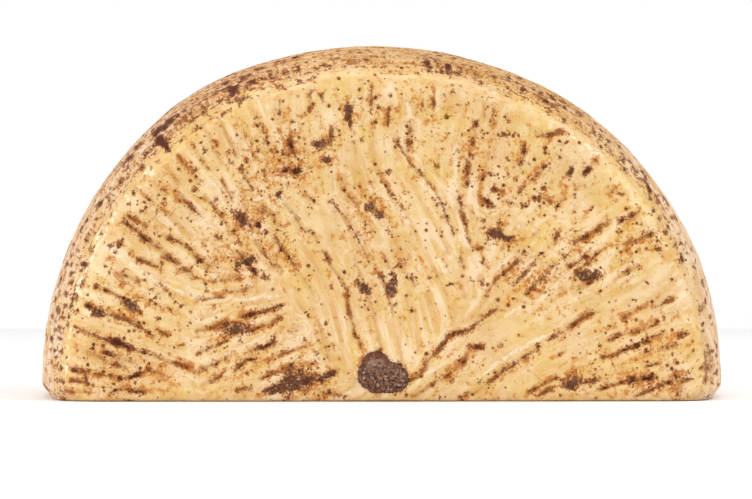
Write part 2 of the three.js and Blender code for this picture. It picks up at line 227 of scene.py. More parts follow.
weave = {
    "pitch": 5.6,           # mm between two grooves
    "backPitch": 6.4,
    "barHeight": (0.35, 0.8),
    "grooveDepth": (0.05, 0.28),
    "grooveWidth": 0.5,
    "wobble": (0.2, 9),     # a groove strays this far, over so many mm
    "fadesBelow": 0.62,     # and is faint where its noise lies deeper than this
    "fadesOver": 0.5,
    "faintBar": (0.35, 0.65),       # share of a bar's height beside a faint groove, and more beside others
    "plainBar": 0.4,        # height where no groove is near
    "edgeInset": 10.6,      # the weave ends at the crack round the face
    "cutMargin": 1.0,
    "longest": 70,          # steps of a groove each way, a third of the pitch each
    "straightness": 0.93,   # cosine of the sharpest bend in one step
    "closest": 0.7,         # pitches between a growing groove and the others
    "apart": 0.97,          # pitches between a new groove's start and the others
    "groovesReach": 4.0,    # mm to each side
    "stainedDepth": (0.25, 0.25),       # of a groove read from the photo, and more per mm of width
    "stainedBar": 0.5,
    "inZoneFrom": 0.35,     # the others are dark where a stained zone is stronger than this
    "inZoneStroke": (0.75, 0.7),        # their width and darkness there, per strength of the zone
}
faceMap = {"left": -116.0, "bottom": -3.0, "width": 232.0, "height": 122.0, "step": 0.25}


def slopeAt(x, z, bundles):
    x = np.asarray(x, float)
    z = np.asarray(z, float)
    cosine = np.zeros_like(x)
    sine = np.zeros_like(x)
    for bundleX, bundleZ, slope in bundles:
        weight = 1 / (((x - bundleX) ** 2 + (z - bundleZ) ** 2) ** 2 + 1)
        cosine += weight * math.cos(2 * math.radians(slope))
        sine += weight * math.sin(2 * math.radians(slope))
    return 0.5 * np.arctan2(sine, cosine)


plug = {
    "x": -1.0,
    "z": 8.3,
    "radius": 6.5,
    "waves": [(2, 1.2, 0.85), (3, 0.7, 0.69), (4, 0.17, -1.03), (5, 0.19, 3.05)],   # turns, height, phase
    "depth": 9.0,
    "backScale": 0.9,
    "proud": 0.8,
    "dome": 0.9,
    "gap": 0.3,
    "clearance": 1.5,       # grooves keep this far away
    "behind": 1.0,          # the pocket is this much deeper
    "pocketWall": (-0.1, 0.6),      # mm inside the plug's outline where the face drops, and over which
}


def plugRadius(angle):
    waves = [height * np.cos(turns * angle + phase) for turns, height, phase in plug["waves"]]
    return plug["radius"] + sum(waves)


def besidePlug(x, z):       # mm from the plug's outline, less than 0 inside it
    return np.hypot(x - plug["x"], z - plug["z"]) - plugRadius(np.arctan2(z - plug["z"], x - plug["x"]))


def takesMarks(x, z):
    onWeave = z > weave["cutMargin"] and insetAt(x, z) > weave["edgeInset"]
    return onWeave and besidePlug(x, z) > plug["clearance"]


def layLines(pitch, bundles, laid):     # fills the face with grooves between those already laid
    step = pitch / 3
    placed = np.full((40000, 2), 1e6)   # room for all points, far away until they are set
    count = 0
    for line in laid:
        placed[count:count + len(line)] = line
        count += len(line)

    def near(x, z, reach):
        return count > 0 and np.min((placed[:count, 0] - x) ** 2 + (placed[:count, 1] - z) ** 2) < reach ** 2

    def follow(x, z, way):
        points = []
        heading = float(slopeAt(x, z, bundles)) + (math.pi if way < 0 else 0)
        while len(points) < weave["longest"]:
            ahead = float(slopeAt(x, z, bundles))
            if math.cos(ahead - heading) < 0:
                ahead += math.pi
            if math.cos(ahead - heading) < weave["straightness"]:
                break
            heading = ahead
            x += step * math.cos(heading)
            z += step * math.sin(heading)
            if not takesMarks(x, z) or near(x, z, weave["closest"] * pitch):
                break
            points.append((x, z))
        return points

    lines = []
    seeds = [(x, z) for x, z, slope in bundles]
    while seeds:
        x, z = seeds.pop(0)
        if not takesMarks(x, z) or near(x, z, weave["apart"] * pitch):
            continue
        line = follow(x, z, -1)[::-1] + [(x, z)] + follow(x, z, 1)
        placed[count:count + len(line)] = line
        count += len(line)
        lines.append(line)
        for pointX, pointZ in line:
            slope = float(slopeAt(pointX, pointZ, bundles))
            for aside in (pitch, -pitch):
                seeds.append((pointX - aside * math.sin(slope), pointZ + aside * math.cos(slope)))
    return lines


# Marks read from the photo, with x and y in the pixels of its frame.

# Stained grooves of the front face: width in mm, darkness, then x, y pairs along the mark
stainedGrooves = [
    (0.9, 0.6, 96, 287, 106, 289, 120, 297, 130, 302), (1.2, 0.9, 88, 306, 100, 311, 116, 317),
    (0.9, 0.45, 116, 317, 128, 321, 142, 329, 155, 338), (0.8, 0.5, 157, 329, 167, 336),
    (0.8, 0.5, 75, 328, 84, 331, 93, 335), (1.5, 0.85, 93, 335, 104, 339, 116, 342, 132, 349),
    (1.0, 0.65, 132, 349, 144, 353, 157, 357), (1.1, 0.8, 157, 357, 172, 363), (0.8, 0.6, 172, 363, 192, 368),
    (0.9, 0.75, 105, 352, 115, 356, 126, 360, 137, 364), (1.0, 0.7, 87, 352, 101, 359, 111, 364, 127, 369),
    (0.9, 0.55, 148, 369, 158, 373, 167, 377), (0.9, 0.7, 73, 370, 88, 372, 102, 375),
    (1.3, 0.85, 102, 375, 116, 378, 126, 380, 140, 374), (0.8, 0.5, 86, 374, 86, 386),
    (0.8, 0.5, 72, 381, 86, 383), (1.0, 0.75, 112, 392, 121, 388, 133, 391, 144, 393),
    (0.8, 0.4, 62, 391, 90, 394), (1.1, 0.75, 124, 222, 135, 229, 144, 238, 155, 244, 165, 253),
    (0.8, 0.45, 128, 216, 138, 221, 146, 226), (0.9, 0.5, 165, 255, 178, 263, 188, 272, 195, 278),
    (0.9, 0.8, 138, 259, 149, 263, 156, 266), (0.7, 0.7, 162, 262, 161, 270), (0.9, 0.8, 169, 238, 175, 240),
    (0.8, 0.4, 175, 240, 190, 249, 200, 259), (1.3, 0.9, 200, 260, 212, 266), (0.8, 0.45, 124, 275, 139, 282),
    (0.7, 0.5, 120, 274, 123, 283), (0.8, 0.7, 214, 282, 228, 280, 241, 278), (0.7, 0.5, 229, 292, 248, 289),
    (0.7, 0.3, 196, 300, 226, 297), (0.9, 0.8, 241, 317, 259, 313, 272, 309, 282, 305),
    (0.9, 0.4, 196, 330, 212, 328, 226, 322), (0.9, 0.6, 251, 331, 270, 324, 281, 318),
    (0.9, 0.6, 198, 354, 208, 349, 226, 341), (0.9, 0.75, 251, 350, 262, 348, 273, 343, 275, 338),
    (0.9, 0.6, 197, 373, 207, 368, 221, 361, 229, 357), (1.1, 0.85, 235, 370, 245, 360, 255, 359),
    (0.8, 0.5, 203, 385, 220, 377, 226, 371), (1.1, 0.8, 262, 392, 278, 386, 290, 384),
    (1.4, 0.85, 302, 384, 314, 381, 326, 377, 336, 370), (0.8, 0.45, 236, 390, 250, 388),
    (0.8, 0.5, 322, 392, 344, 397), (0.9, 0.5, 324, 253, 331, 267, 340, 280, 347, 291, 349, 312),
    (0.7, 0.35, 349, 312, 355, 336, 361, 346), (0.8, 0.4, 332, 202, 341, 213, 351, 226, 360, 243, 364, 250),
    (1.1, 0.95, 363, 250, 368, 257), (0.7, 0.35, 343, 178, 345, 193, 357, 204),
    (0.8, 0.6, 384, 257, 388, 264), (1.3, 0.65, 241, 169, 247, 180, 253, 190), (1.4, 0.8, 263, 170, 266, 178),
    (2.0, 0.9, 285, 171, 301, 171), (1.6, 0.7, 290, 138, 292, 148, 296, 157),
    (0.9, 0.7, 285, 204, 294, 214, 299, 226, 305, 232), (0.9, 0.85, 306, 195, 313, 200),
    (0.8, 0.35, 309, 230, 318, 239), (0.9, 0.6, 261, 208, 269, 214, 276, 220),
    (1.1, 0.85, 259, 221, 259, 227), (1.2, 0.6, 241, 215, 250, 226),
    (1.9, 0.8, 239, 253, 243, 258, 249, 266, 255, 273), (1.0, 0.6, 412, 278, 415, 286),
    (0.7, 0.35, 395, 141, 410, 162, 425, 178, 436, 192, 448, 216), (0.8, 0.5, 440, 198, 448, 221, 454, 234),
    (0.8, 0.6, 459, 197, 465, 221, 469, 239, 473, 249, 484, 248), (0.7, 0.5, 461, 259, 465, 268),
    (0.9, 0.85, 480, 278, 482, 285), (1.1, 0.7, 476, 123, 474, 134, 472, 146),
    (0.9, 0.65, 467, 160, 468, 184), (0.9, 0.8, 480, 181, 485, 176), (0.9, 0.6, 477, 194, 486, 201, 495, 207),
    (1.1, 0.8, 495, 189, 504, 192), (0.8, 0.5, 506, 201, 513, 203), (1.3, 0.7, 524, 145, 524, 158, 520, 166),
    (1.2, 0.85, 545, 166, 534, 179, 524, 188, 519, 193), (0.8, 0.7, 494, 108, 492, 122),
    (0.9, 0.85, 538, 136, 545, 135, 553, 136), (0.8, 0.35, 553, 134, 565, 131),
    (0.8, 0.6, 534, 198, 544, 199, 552, 202), (0.9, 0.85, 558, 206, 565, 198),
    (1.5, 0.85, 585, 174, 593, 165, 597, 161), (0.9, 0.4, 612, 191, 624, 195),
    (1.1, 0.75, 621, 221, 631, 216, 640, 212), (1.3, 0.7, 575, 244, 583, 239, 592, 234),
    (0.8, 0.35, 592, 234, 610, 221), (1.6, 0.9, 624, 245, 632, 242, 640, 239, 651, 234),
    (1.2, 0.85, 571, 266, 580, 262, 590, 254), (1.1, 0.75, 580, 289, 587, 285, 593, 281),
    (0.9, 0.7, 622, 275, 631, 270, 638, 268), (1.2, 0.65, 534, 263, 524, 275, 515, 284),
    (1.1, 0.6, 519, 261, 507, 271, 496, 279, 486, 295), (0.8, 0.5, 559, 233, 555, 243),
    (1.0, 0.6, 554, 266, 545, 277, 533, 287, 528, 294), (0.8, 0.55, 600, 253, 590, 262, 577, 271),
    (0.9, 0.4, 410, 381, 421, 375, 426, 361), (1.1, 0.75, 426, 361, 436, 354, 449, 336, 460, 332, 470, 330),
    (0.8, 0.5, 470, 330, 483, 319, 497, 310), (0.9, 0.6, 412, 397, 427, 389, 442, 380, 455, 370),
    (1.2, 0.55, 455, 370, 465, 361, 470, 347, 483, 348), (0.9, 0.65, 460, 399, 474, 394, 489, 382, 508, 369),
    (1.0, 0.75, 508, 369, 521, 359, 535, 351), (0.9, 0.6, 549, 340, 566, 330, 583, 318, 596, 312),
    (0.8, 0.55, 528, 394, 545, 384, 556, 379), (1.2, 0.8, 576, 385, 587, 383, 600, 379),
    (0.9, 0.65, 599, 390, 612, 386, 627, 382), (1.5, 0.9, 627, 382, 639, 380, 651, 378),
    (0.9, 0.7, 637, 397, 651, 392, 664, 385), (1.0, 0.75, 645, 368, 661, 364),
    (0.9, 0.75, 602, 358, 615, 356, 625, 350, 637, 346), (1.1, 0.85, 637, 346, 656, 338, 664, 334),
    (0.9, 0.6, 610, 340, 620, 335, 643, 331, 657, 324), (0.9, 0.6, 625, 318, 631, 313, 647, 307),
    (1.6, 0.75, 677, 372, 678, 395), (1.0, 0.7, 668, 384, 690, 380), (0.8, 0.6, 680, 337, 690, 334),
    (0.9, 0.5, 540, 395, 552, 388), (0.8, 0.4, 655, 308, 672, 300), (0.8, 0.5, 660, 350, 676, 345),
    (0.8, 0.4, 280, 101, 280, 115), (0.7, 0.4, 331, 128, 331, 146), (0.8, 0.6, 388, 108, 388, 126),
    (0.9, 0.6, 409, 125, 409, 150), (0.7, 0.5, 434, 90, 434, 107), (1.2, 0.75, 348, 104, 351, 128),
    (0.8, 0.45, 484, 104, 485, 118), (0.8, 0.4, 311, 90, 309, 112), (0.7, 0.35, 371, 84, 371, 104),
    (0.8, 0.5, 222, 180, 232, 199), (0.8, 0.45, 205, 196, 222, 216), (0.9, 0.5, 180, 196, 200, 215),
]

# Single dark spots: x, y, size in mm, darkness
darkSpots = [
    (110, 246, 1.3, 0.8), (119, 244, 1.5, 0.85), (116, 252, 0.9, 0.9), (123, 240, 0.9, 0.7),
    (105, 266, 1.2, 0.8), (152, 290, 0.9, 0.95), (155, 298, 1.2, 0.8), (170, 297, 0.9, 0.95),
    (181, 306, 0.8, 1.0), (175, 302, 0.6, 0.9), (133, 304, 1.8, 0.85), (136, 310, 1.6, 0.7),
    (158, 319, 0.9, 0.8), (95, 287, 1.3, 0.95), (105, 290, 1.3, 0.95), (149, 200, 1.3, 0.7),
    (146, 208, 1.2, 0.7), (141, 211, 1.1, 0.6), (157, 211, 1.2, 0.6), (165, 204, 1.1, 0.6),
    (158, 195, 1.0, 0.7), (196, 170, 1.5, 0.8), (179, 168, 1.0, 0.8), (205, 152, 1.2, 0.7),
    (216, 141, 1.1, 0.6), (204, 149, 0.9, 0.6), (229, 161, 1.1, 0.7), (231, 150, 0.9, 0.6),
    (196, 189, 1.6, 0.7), (241, 168, 1.1, 0.7), (247, 160, 0.9, 0.7), (254, 159, 1.1, 0.7),
    (258, 151, 1.2, 0.6), (215, 199, 1.2, 0.7), (222, 223, 1.2, 0.8), (235, 231, 1.4, 0.9),
    (267, 234, 1.3, 0.7), (278, 227, 1.2, 0.9), (285, 234, 1.2, 0.9), (217, 238, 1.1, 0.6),
    (240, 241, 1.1, 0.8), (281, 249, 1.7, 0.95), (289, 257, 1.6, 0.9), (264, 276, 1.7, 0.7),
    (249, 286, 1.0, 0.9), (207, 291, 0.9, 0.9), (192, 268, 0.9, 0.8), (310, 281, 1.0, 0.95),
    (310, 288, 0.8, 0.95), (331, 288, 0.7, 0.9), (339, 279, 1.0, 0.8), (306, 313, 1.0, 0.95),
    (326, 324, 0.9, 0.9), (320, 342, 1.0, 0.8), (304, 341, 0.9, 0.8), (318, 354, 0.9, 0.8),
    (345, 397, 1.2, 0.8), (328, 392, 1.2, 0.8), (250, 390, 1.0, 0.8), (348, 312, 1.0, 0.8),
    (278, 195, 2.4, 1.0), (264, 274, 1.0, 0.6), (258, 225, 1.9, 0.95), (265, 232, 1.5, 0.8),
    (283, 153, 1.2, 0.7), (297, 169, 1.3, 0.6), (293, 121, 1.1, 1.0), (322, 95, 1.5, 0.8),
    (363, 140, 1.0, 0.8), (371, 109, 1.1, 0.7), (378, 106, 1.1, 0.7), (351, 227, 1.2, 0.8),
    (371, 183, 1.0, 0.95), (379, 174, 1.4, 0.8), (388, 172, 1.5, 0.7), (393, 194, 1.4, 0.85),
    (402, 207, 1.5, 0.75), (366, 225, 1.2, 0.95), (370, 232, 1.0, 0.9), (389, 232, 1.2, 0.95),
    (392, 274, 1.9, 0.9), (383, 279, 1.5, 0.8), (398, 265, 0.9, 0.8), (428, 278, 1.2, 0.95),
    (412, 310, 1.1, 0.95), (394, 306, 1.2, 0.8), (398, 140, 1.4, 0.7), (419, 170, 1.2, 0.8),
    (437, 166, 1.6, 0.55), (447, 117, 1.4, 0.8), (453, 91, 1.2, 0.7), (444, 94, 1.0, 0.7),
    (470, 155, 1.6, 0.8), (467, 167, 1.5, 0.7), (491, 175, 1.3, 0.7), (423, 106, 1.1, 0.6),
    (516, 180, 1.1, 0.9), (508, 159, 1.1, 0.8), (503, 134, 1.6, 0.65), (510, 134, 1.0, 0.8),
    (516, 133, 0.9, 0.8), (506, 115, 1.0, 1.0), (545, 147, 1.0, 0.8), (545, 153, 0.9, 0.8),
    (567, 142, 1.0, 0.9), (543, 187, 1.5, 0.8), (525, 206, 1.5, 0.7), (571, 171, 1.7, 0.85),
    (611, 179, 0.9, 1.0), (594, 207, 0.8, 0.95), (577, 231, 1.0, 0.8), (484, 220, 1.1, 0.9),
    (485, 227, 1.0, 0.8), (499, 223, 1.1, 0.9), (493, 245, 1.0, 0.8), (483, 261, 1.3, 0.85),
    (470, 280, 1.0, 0.9), (451, 284, 0.9, 0.95), (524, 252, 1.4, 0.85), (542, 254, 1.4, 0.95),
    (566, 256, 1.3, 0.85), (554, 267, 1.3, 0.85), (533, 287, 1.4, 0.95), (528, 294, 1.2, 0.8),
    (618, 233, 1.3, 0.7), (658, 241, 1.2, 0.8), (660, 250, 1.1, 0.8), (622, 261, 1.3, 0.8),
    (647, 281, 1.2, 0.8), (673, 280, 1.1, 0.8), (654, 230, 1.0, 0.7), (483, 319, 1.0, 0.95),
    (538, 346, 1.5, 1.0), (501, 346, 1.4, 0.6), (453, 381, 1.3, 0.85), (610, 325, 1.0, 0.8),
    (647, 351, 1.2, 0.85), (514, 364, 1.2, 0.8), (702, 368, 1.1, 0.8), (694, 352, 1.0, 0.8),
    (690, 372, 1.0, 0.8), (600, 345, 0.9, 0.8), (636, 300, 0.9, 0.8), (665, 318, 1.0, 0.7),
    (480, 382, 0.9, 0.8), (440, 398, 1.0, 0.7), (371, 354, 1.6, 0.75), (378, 352, 1.5, 0.8),
    (386, 358, 1.3, 0.7), (364, 360, 1.2, 0.6), (196, 318, 0.8, 0.7), (214, 309, 0.8, 0.8),
    (230, 301, 0.7, 0.8), (240, 340, 0.9, 0.7), (182, 345, 0.9, 0.6),
]

# Lumps of truffle paste in the rind: x, y, half length and half width in mm, slope, height
truffleLumps = [
    (292, 381, 3.6, 3.4, -20, 0.6), (300, 382, 7.5, 1.5, 15, 0.4), (277, 389, 4.2, 1.3, 14, 0.3),
    (327, 376, 3.4, 1.0, 22, 0.2), (236, 329, 3.6, 1.8, 8, 0.35), (497, 234, 2.5, 1.7, 0, 0.4),
    (363, 287, 3.1, 1.2, -40, 0.4), (391, 287, 3.1, 1.5, 75, 0.4), (379, 215, 1.4, 1.1, 0, 0.3),
    (369, 206, 1.7, 1.4, 0, 0.3), (572, 384, 2.6, 2.2, 20, 0.4), (585, 275, 2.4, 1.8, 10, 0.4),
    (596, 276, 1.8, 1.4, 10, 0.4), (318, 145, 2.3, 1.5, 0, 0.3), (326, 160, 1.5, 1.2, 0, 0.3),
    (349, 111, 2.9, 1.2, 84, 0.3), (247, 262, 1.7, 3.0, -60, 0.3), (133, 306, 1.6, 2.2, 60, 0.3),
    (507, 238, 2.8, 0.9, -14, 0.2), (98, 312, 1.6, 1.2, 0, 0.2), (571, 172, 1.2, 1.5, 0, 0.2),
    (241, 218, 2.7, 1.1, -50, 0.2),
]

# Areas with more stain and specks: x, y, radius in mm, strength
stainZones = [
    (285, 160, 15, 1.0), (325, 130, 12, 0.6), (248, 215, 13, 1.0), (160, 212, 12, 0.6), (376, 205, 9, 0.7),
    (385, 285, 10, 0.6), (420, 125, 15, 0.45), (480, 150, 13, 0.6), (535, 175, 16, 0.6), (500, 235, 10, 0.6),
    (585, 255, 16, 0.7), (545, 282, 12, 0.8), (645, 355, 16, 0.6), (575, 375, 12, 0.5), (110, 370, 18, 0.7),
    (240, 345, 15, 0.6), (296, 376, 13, 0.9), (230, 250, 12, 0.9), (200, 165, 12, 0.5), (455, 365, 13, 0.5),
    (280, 255, 8, 0.9), (640, 235, 12, 0.6), (355, 115, 14, 0.5), (130, 315, 14, 0.5), (670, 385, 10, 0.6),
]

# Thin raised crests of the rind, painted white along them as a painted highlight: height in mm, then x, y
# pairs
crestsAndHighlights = [
    (0.5, 196, 166, 225, 195, 242, 219), (0.6, 311, 86, 315, 103), (0.4, 328, 91, 334, 137),
    (0.6, 371, 86, 372, 101), (0.4, 389, 84, 389, 104), (0.5, 402, 88, 412, 120), (0.4, 284, 210, 310, 243),
    (0.4, 332, 202, 344, 219), (0.4, 325, 258, 339, 277), (0.5, 146, 234, 184, 272, 211, 292),
    (0.6, 107, 248, 155, 280, 191, 297), (0.5, 199, 299, 240, 300, 286, 296),
    (0.5, 206, 362, 242, 348, 274, 331), (0.4, 206, 320, 242, 306), (0.5, 417, 178, 434, 197, 449, 219),
    (0.7, 393, 200, 403, 214, 412, 229), (0.7, 434, 253, 449, 278), (0.6, 456, 230, 473, 254),
    (0.5, 440, 204, 446, 216), (0.4, 398, 262, 402, 272), (0.6, 473, 382, 500, 362, 526, 345, 560, 331),
    (0.5, 407, 389, 430, 372, 456, 355), (0.5, 497, 322, 530, 300), (0.5, 512, 224, 545, 234),
    (0.4, 560, 306, 600, 288, 640, 272), (0.5, 149, 163, 163, 186), (0.4, 530, 228, 560, 212, 590, 200),
    (0.4, 596, 226, 620, 213), (0.4, 356, 118, 358, 140), (0.5, 98, 270, 130, 282, 160, 298),
    (0.4, 90, 322, 120, 334), (0.5, 455, 140, 452, 165), (0.4, 492, 140, 490, 165), (0.5, 300, 180, 318, 200),
    (0.4, 560, 352, 600, 336, 620, 330),
]

# Dark spots of the rim: x, y, size in mm, darkness
rimSpots = [
    (157, 131, 4.0, 1.0), (160, 140, 4.3, 1.0), (165, 143, 2.4, 0.95), (164, 126, 2.8, 0.95),
    (171, 120, 3.4, 0.95), (178, 115, 2.2, 0.9), (185, 110, 1.6, 0.8), (136, 147, 2.2, 0.95),
    (141, 143, 1.6, 0.9), (131, 156, 1.8, 0.9), (226, 83, 2.6, 0.9), (231, 89, 3.2, 0.95),
    (237, 91, 1.8, 0.8), (243, 78, 2.2, 0.95), (249, 76, 1.4, 0.85), (246, 86, 1.4, 0.95),
    (216, 93, 1.4, 0.9), (220, 101, 1.3, 0.9), (203, 108, 1.5, 0.9), (203, 113, 1.1, 0.85),
    (190, 114, 1.4, 0.8), (193, 118, 1.1, 0.8), (187, 121, 1.1, 0.8), (209, 117, 1.0, 0.85),
    (196, 125, 0.9, 0.7), (259, 70, 2.0, 0.85), (277, 64, 0.9, 0.8), (296, 58, 2.2, 0.9),
    (298, 67, 1.6, 0.85), (286, 69, 1.2, 0.7), (323, 65, 1.3, 0.9), (330, 65, 1.1, 0.85), (317, 69, 1.4, 0.6),
    (285, 90, 1.2, 0.9), (350, 52, 1.3, 0.8), (332, 55, 1.2, 0.6), (345, 66, 1.2, 0.6), (428, 63, 2.4, 0.95),
    (435, 61, 1.4, 0.9), (424, 56, 1.3, 0.7), (448, 66, 2.8, 0.95), (440, 53, 2.0, 0.8), (454, 57, 1.6, 0.7),
    (441, 71, 1.4, 0.9), (451, 72, 1.0, 0.9), (450, 75, 1.0, 0.85), (475, 75, 1.2, 0.8), (472, 68, 1.1, 0.8),
    (508, 77, 1.8, 0.8), (520, 78, 2.0, 0.9), (508, 87, 1.4, 0.85), (523, 89, 1.9, 0.85), (481, 82, 1.4, 0.5),
    (534, 89, 1.6, 0.85), (541, 92, 1.5, 0.8), (554, 98, 2.4, 0.8), (565, 100, 1.8, 0.9),
    (560, 104, 1.6, 0.75), (565, 107, 1.9, 0.9), (579, 109, 1.8, 0.95), (581, 115, 1.6, 0.9),
    (583, 112, 1.2, 0.9), (551, 111, 1.2, 0.9), (564, 119, 1.2, 0.95), (577, 121, 1.0, 0.8),
    (602, 129, 1.9, 0.9), (601, 135, 1.7, 0.85), (594, 131, 1.5, 0.7), (609, 141, 1.4, 0.9),
    (601, 147, 1.1, 0.8), (610, 151, 1.3, 0.85), (620, 146, 1.7, 0.9), (623, 154, 1.3, 0.85),
    (624, 159, 1.5, 0.95), (630, 161, 1.5, 0.85), (618, 162, 1.1, 0.8), (625, 169, 1.1, 0.9),
    (633, 168, 1.2, 0.85), (637, 172, 1.6, 0.85), (643, 172, 1.8, 0.9), (646, 178, 2.0, 0.8),
    (648, 184, 1.1, 0.7), (650, 198, 1.4, 0.8), (657, 196, 1.3, 0.9), (659, 202, 1.5, 0.6),
    (654, 211, 1.1, 0.9), (660, 219, 1.3, 0.85), (665, 198, 1.9, 0.8), (668, 205, 1.6, 0.8),
    (672, 217, 1.3, 0.8), (677, 217, 1.9, 0.85), (669, 227, 1.6, 0.95), (666, 231, 1.3, 0.8),
    (671, 237, 0.9, 0.8), (676, 244, 1.2, 0.95), (681, 243, 1.2, 0.95), (678, 248, 0.8, 0.8),
    (692, 249, 1.3, 0.8), (687, 254, 0.8, 0.8), (697, 261, 1.3, 0.7), (695, 268, 1.2, 0.85),
    (703, 282, 1.6, 0.8), (705, 285, 1.3, 0.7), (706, 301, 2.0, 0.75), (701, 310, 1.4, 0.85),
    (703, 324, 1.1, 0.9), (703, 331, 1.0, 0.9), (710, 317, 1.5, 0.8), (708, 346, 1.2, 0.8),
    (712, 351, 1.0, 0.95), (717, 346, 1.6, 0.9), (716, 356, 1.4, 0.8), (716, 371, 1.6, 0.8),
    (718, 385, 1.6, 0.85), (708, 396, 1.1, 0.8), (129, 158, 2.6, 0.95), (124, 163, 2.0, 0.85),
    (128, 167, 1.5, 0.8), (145, 154, 1.8, 0.7), (142, 167, 1.6, 0.75), (152, 169, 1.2, 0.95),
    (158, 162, 0.9, 0.8), (120, 180, 1.9, 0.75), (127, 178, 0.9, 0.8), (109, 188, 1.5, 0.9),
    (107, 197, 1.5, 0.85), (102, 190, 1.3, 0.7), (100, 204, 2.6, 0.8), (94, 202, 1.4, 0.7),
    (87, 220, 1.6, 0.85), (97, 219, 1.3, 0.85), (80, 229, 2.4, 0.95), (77, 235, 1.5, 0.9),
    (89, 233, 1.2, 0.8), (85, 240, 1.2, 0.9), (72, 244, 1.6, 0.85), (78, 250, 1.2, 0.7), (71, 255, 1.6, 0.75),
    (66, 263, 2.4, 0.9), (71, 264, 1.5, 0.85), (84, 264, 2.2, 0.95), (81, 270, 1.3, 0.8),
    (71, 273, 1.5, 0.75), (59, 279, 1.8, 0.9), (57, 286, 1.5, 0.85), (66, 294, 1.2, 0.85),
    (133, 193, 1.2, 0.95), (130, 204, 1.2, 0.95), (101, 233, 1.1, 0.95), (92, 250, 1.4, 0.8),
    (74, 294, 1.3, 0.85), (76, 286, 0.9, 0.9), (73, 299, 1.2, 0.85), (71, 306, 1.2, 0.9), (69, 316, 1.0, 0.8),
    (67, 324, 1.2, 0.85), (71, 284, 1.2, 0.8), (66, 293, 1.3, 0.8), (64, 306, 1.0, 0.8), (62, 317, 1.1, 0.75),
    (60, 326, 1.2, 0.75), (59, 338, 1.4, 0.85), (62, 352, 1.2, 0.7), (61, 368, 1.2, 0.8), (62, 380, 0.9, 0.7),
    (61, 391, 1.2, 0.75), (58, 284, 1.4, 0.7), (55, 299, 1.7, 0.85), (58, 309, 2.2, 0.7), (55, 321, 1.2, 0.8),
    (55, 330, 0.9, 0.75), (52, 338, 1.5, 0.85), (55, 350, 1.5, 0.95), (56, 358, 1.1, 0.85),
    (58, 380, 1.4, 0.95), (55, 395, 1.1, 0.75), (52, 317, 1.3, 0.8), (47, 337, 1.2, 0.6), (52, 363, 1.2, 0.9),
    (48, 390, 1.2, 0.8), (44, 368, 1.3, 0.6), (44, 387, 1.6, 0.75), (64, 382, 0.9, 0.95),
]

# Lines of the rim: width in mm, darkness, then x, y pairs
rimLines = [
    (0.9, 0.9, 196, 102, 206, 98, 215, 94), (0.8, 0.6, 179, 143, 187, 136, 196, 130, 204, 125),
    (1.0, 0.85, 205, 123, 212, 119, 218, 117), (0.7, 0.6, 222, 115, 232, 108, 240, 104),
    (0.9, 0.75, 226, 103, 236, 101, 246, 98, 252, 98), (1.2, 0.6, 262, 90, 270, 88, 279, 86),
    (0.9, 0.95, 271, 79, 280, 78, 289, 78), (0.7, 0.75, 298, 81, 306, 80, 320, 77),
    (0.9, 0.95, 342, 60, 351, 60, 366, 59), (0.9, 0.9, 430, 58, 438, 62, 446, 64),
    (0.7, 0.75, 456, 66, 461, 68), (0.7, 0.6, 466, 73, 476, 75), (1.0, 0.95, 493, 76, 505, 79, 519, 83),
    (0.8, 0.85, 536, 95, 546, 101, 556, 106), (0.9, 0.85, 646, 182, 650, 188, 652, 194),
    (0.8, 0.75, 663, 207, 664, 215), (1.1, 0.6, 681, 254, 682, 263), (0.8, 0.8, 116, 211, 119, 207),
    (0.7, 0.8, 103, 216, 105, 212), (0.7, 0.8, 110, 215, 112, 212), (0.7, 0.4, 705, 352, 705, 384),
    (0.7, 0.35, 709, 352, 709, 380), (0.7, 0.35, 712, 360, 712, 384), (0.8, 0.5, 82, 284, 78, 300, 75, 312),
    (0.8, 0.5, 90, 262, 86, 272, 83, 283), (0.8, 0.6, 284, 70, 290, 68), (0.8, 0.6, 440, 71, 460, 73),
]

# Where the soft glossy ridge between face and rim shows: x, y
ridgeSpots = [
    (697, 338), (664, 244), (646, 219), (625, 187), (589, 155), (555, 126), (517, 108), (454, 87), (385, 80),
    (300, 90), (236, 115), (200, 134), (166, 163), (150, 182), (121, 213), (109, 232), (97, 250), (84, 282),
    (82, 293),
]


def onFace(x, y):
    return (x - photo["axisX"]) / photo["pxPerMm"], (photo["cutY"] - y) / photo["pxPerMm"]


def toPhoto(x, z):
    return photo["axisX"] + photo["pxPerMm"] * x, photo["cutY"] - photo["pxPerMm"] * z


def pairs(mark, first=2):       # the points of a mark, which follow its width and darkness
    return zip(mark[first::2], mark[first + 1::2])


def markLine(mark, first=2):
    return [onFace(x, y) for x, y in pairs(mark, first)]


# maps: flat arrays that the marks are drawn into and the mesh reads, lengths in mm

noInk = -1.5        # ink is how deep inside a dark mark a point lies, below 0 outside it

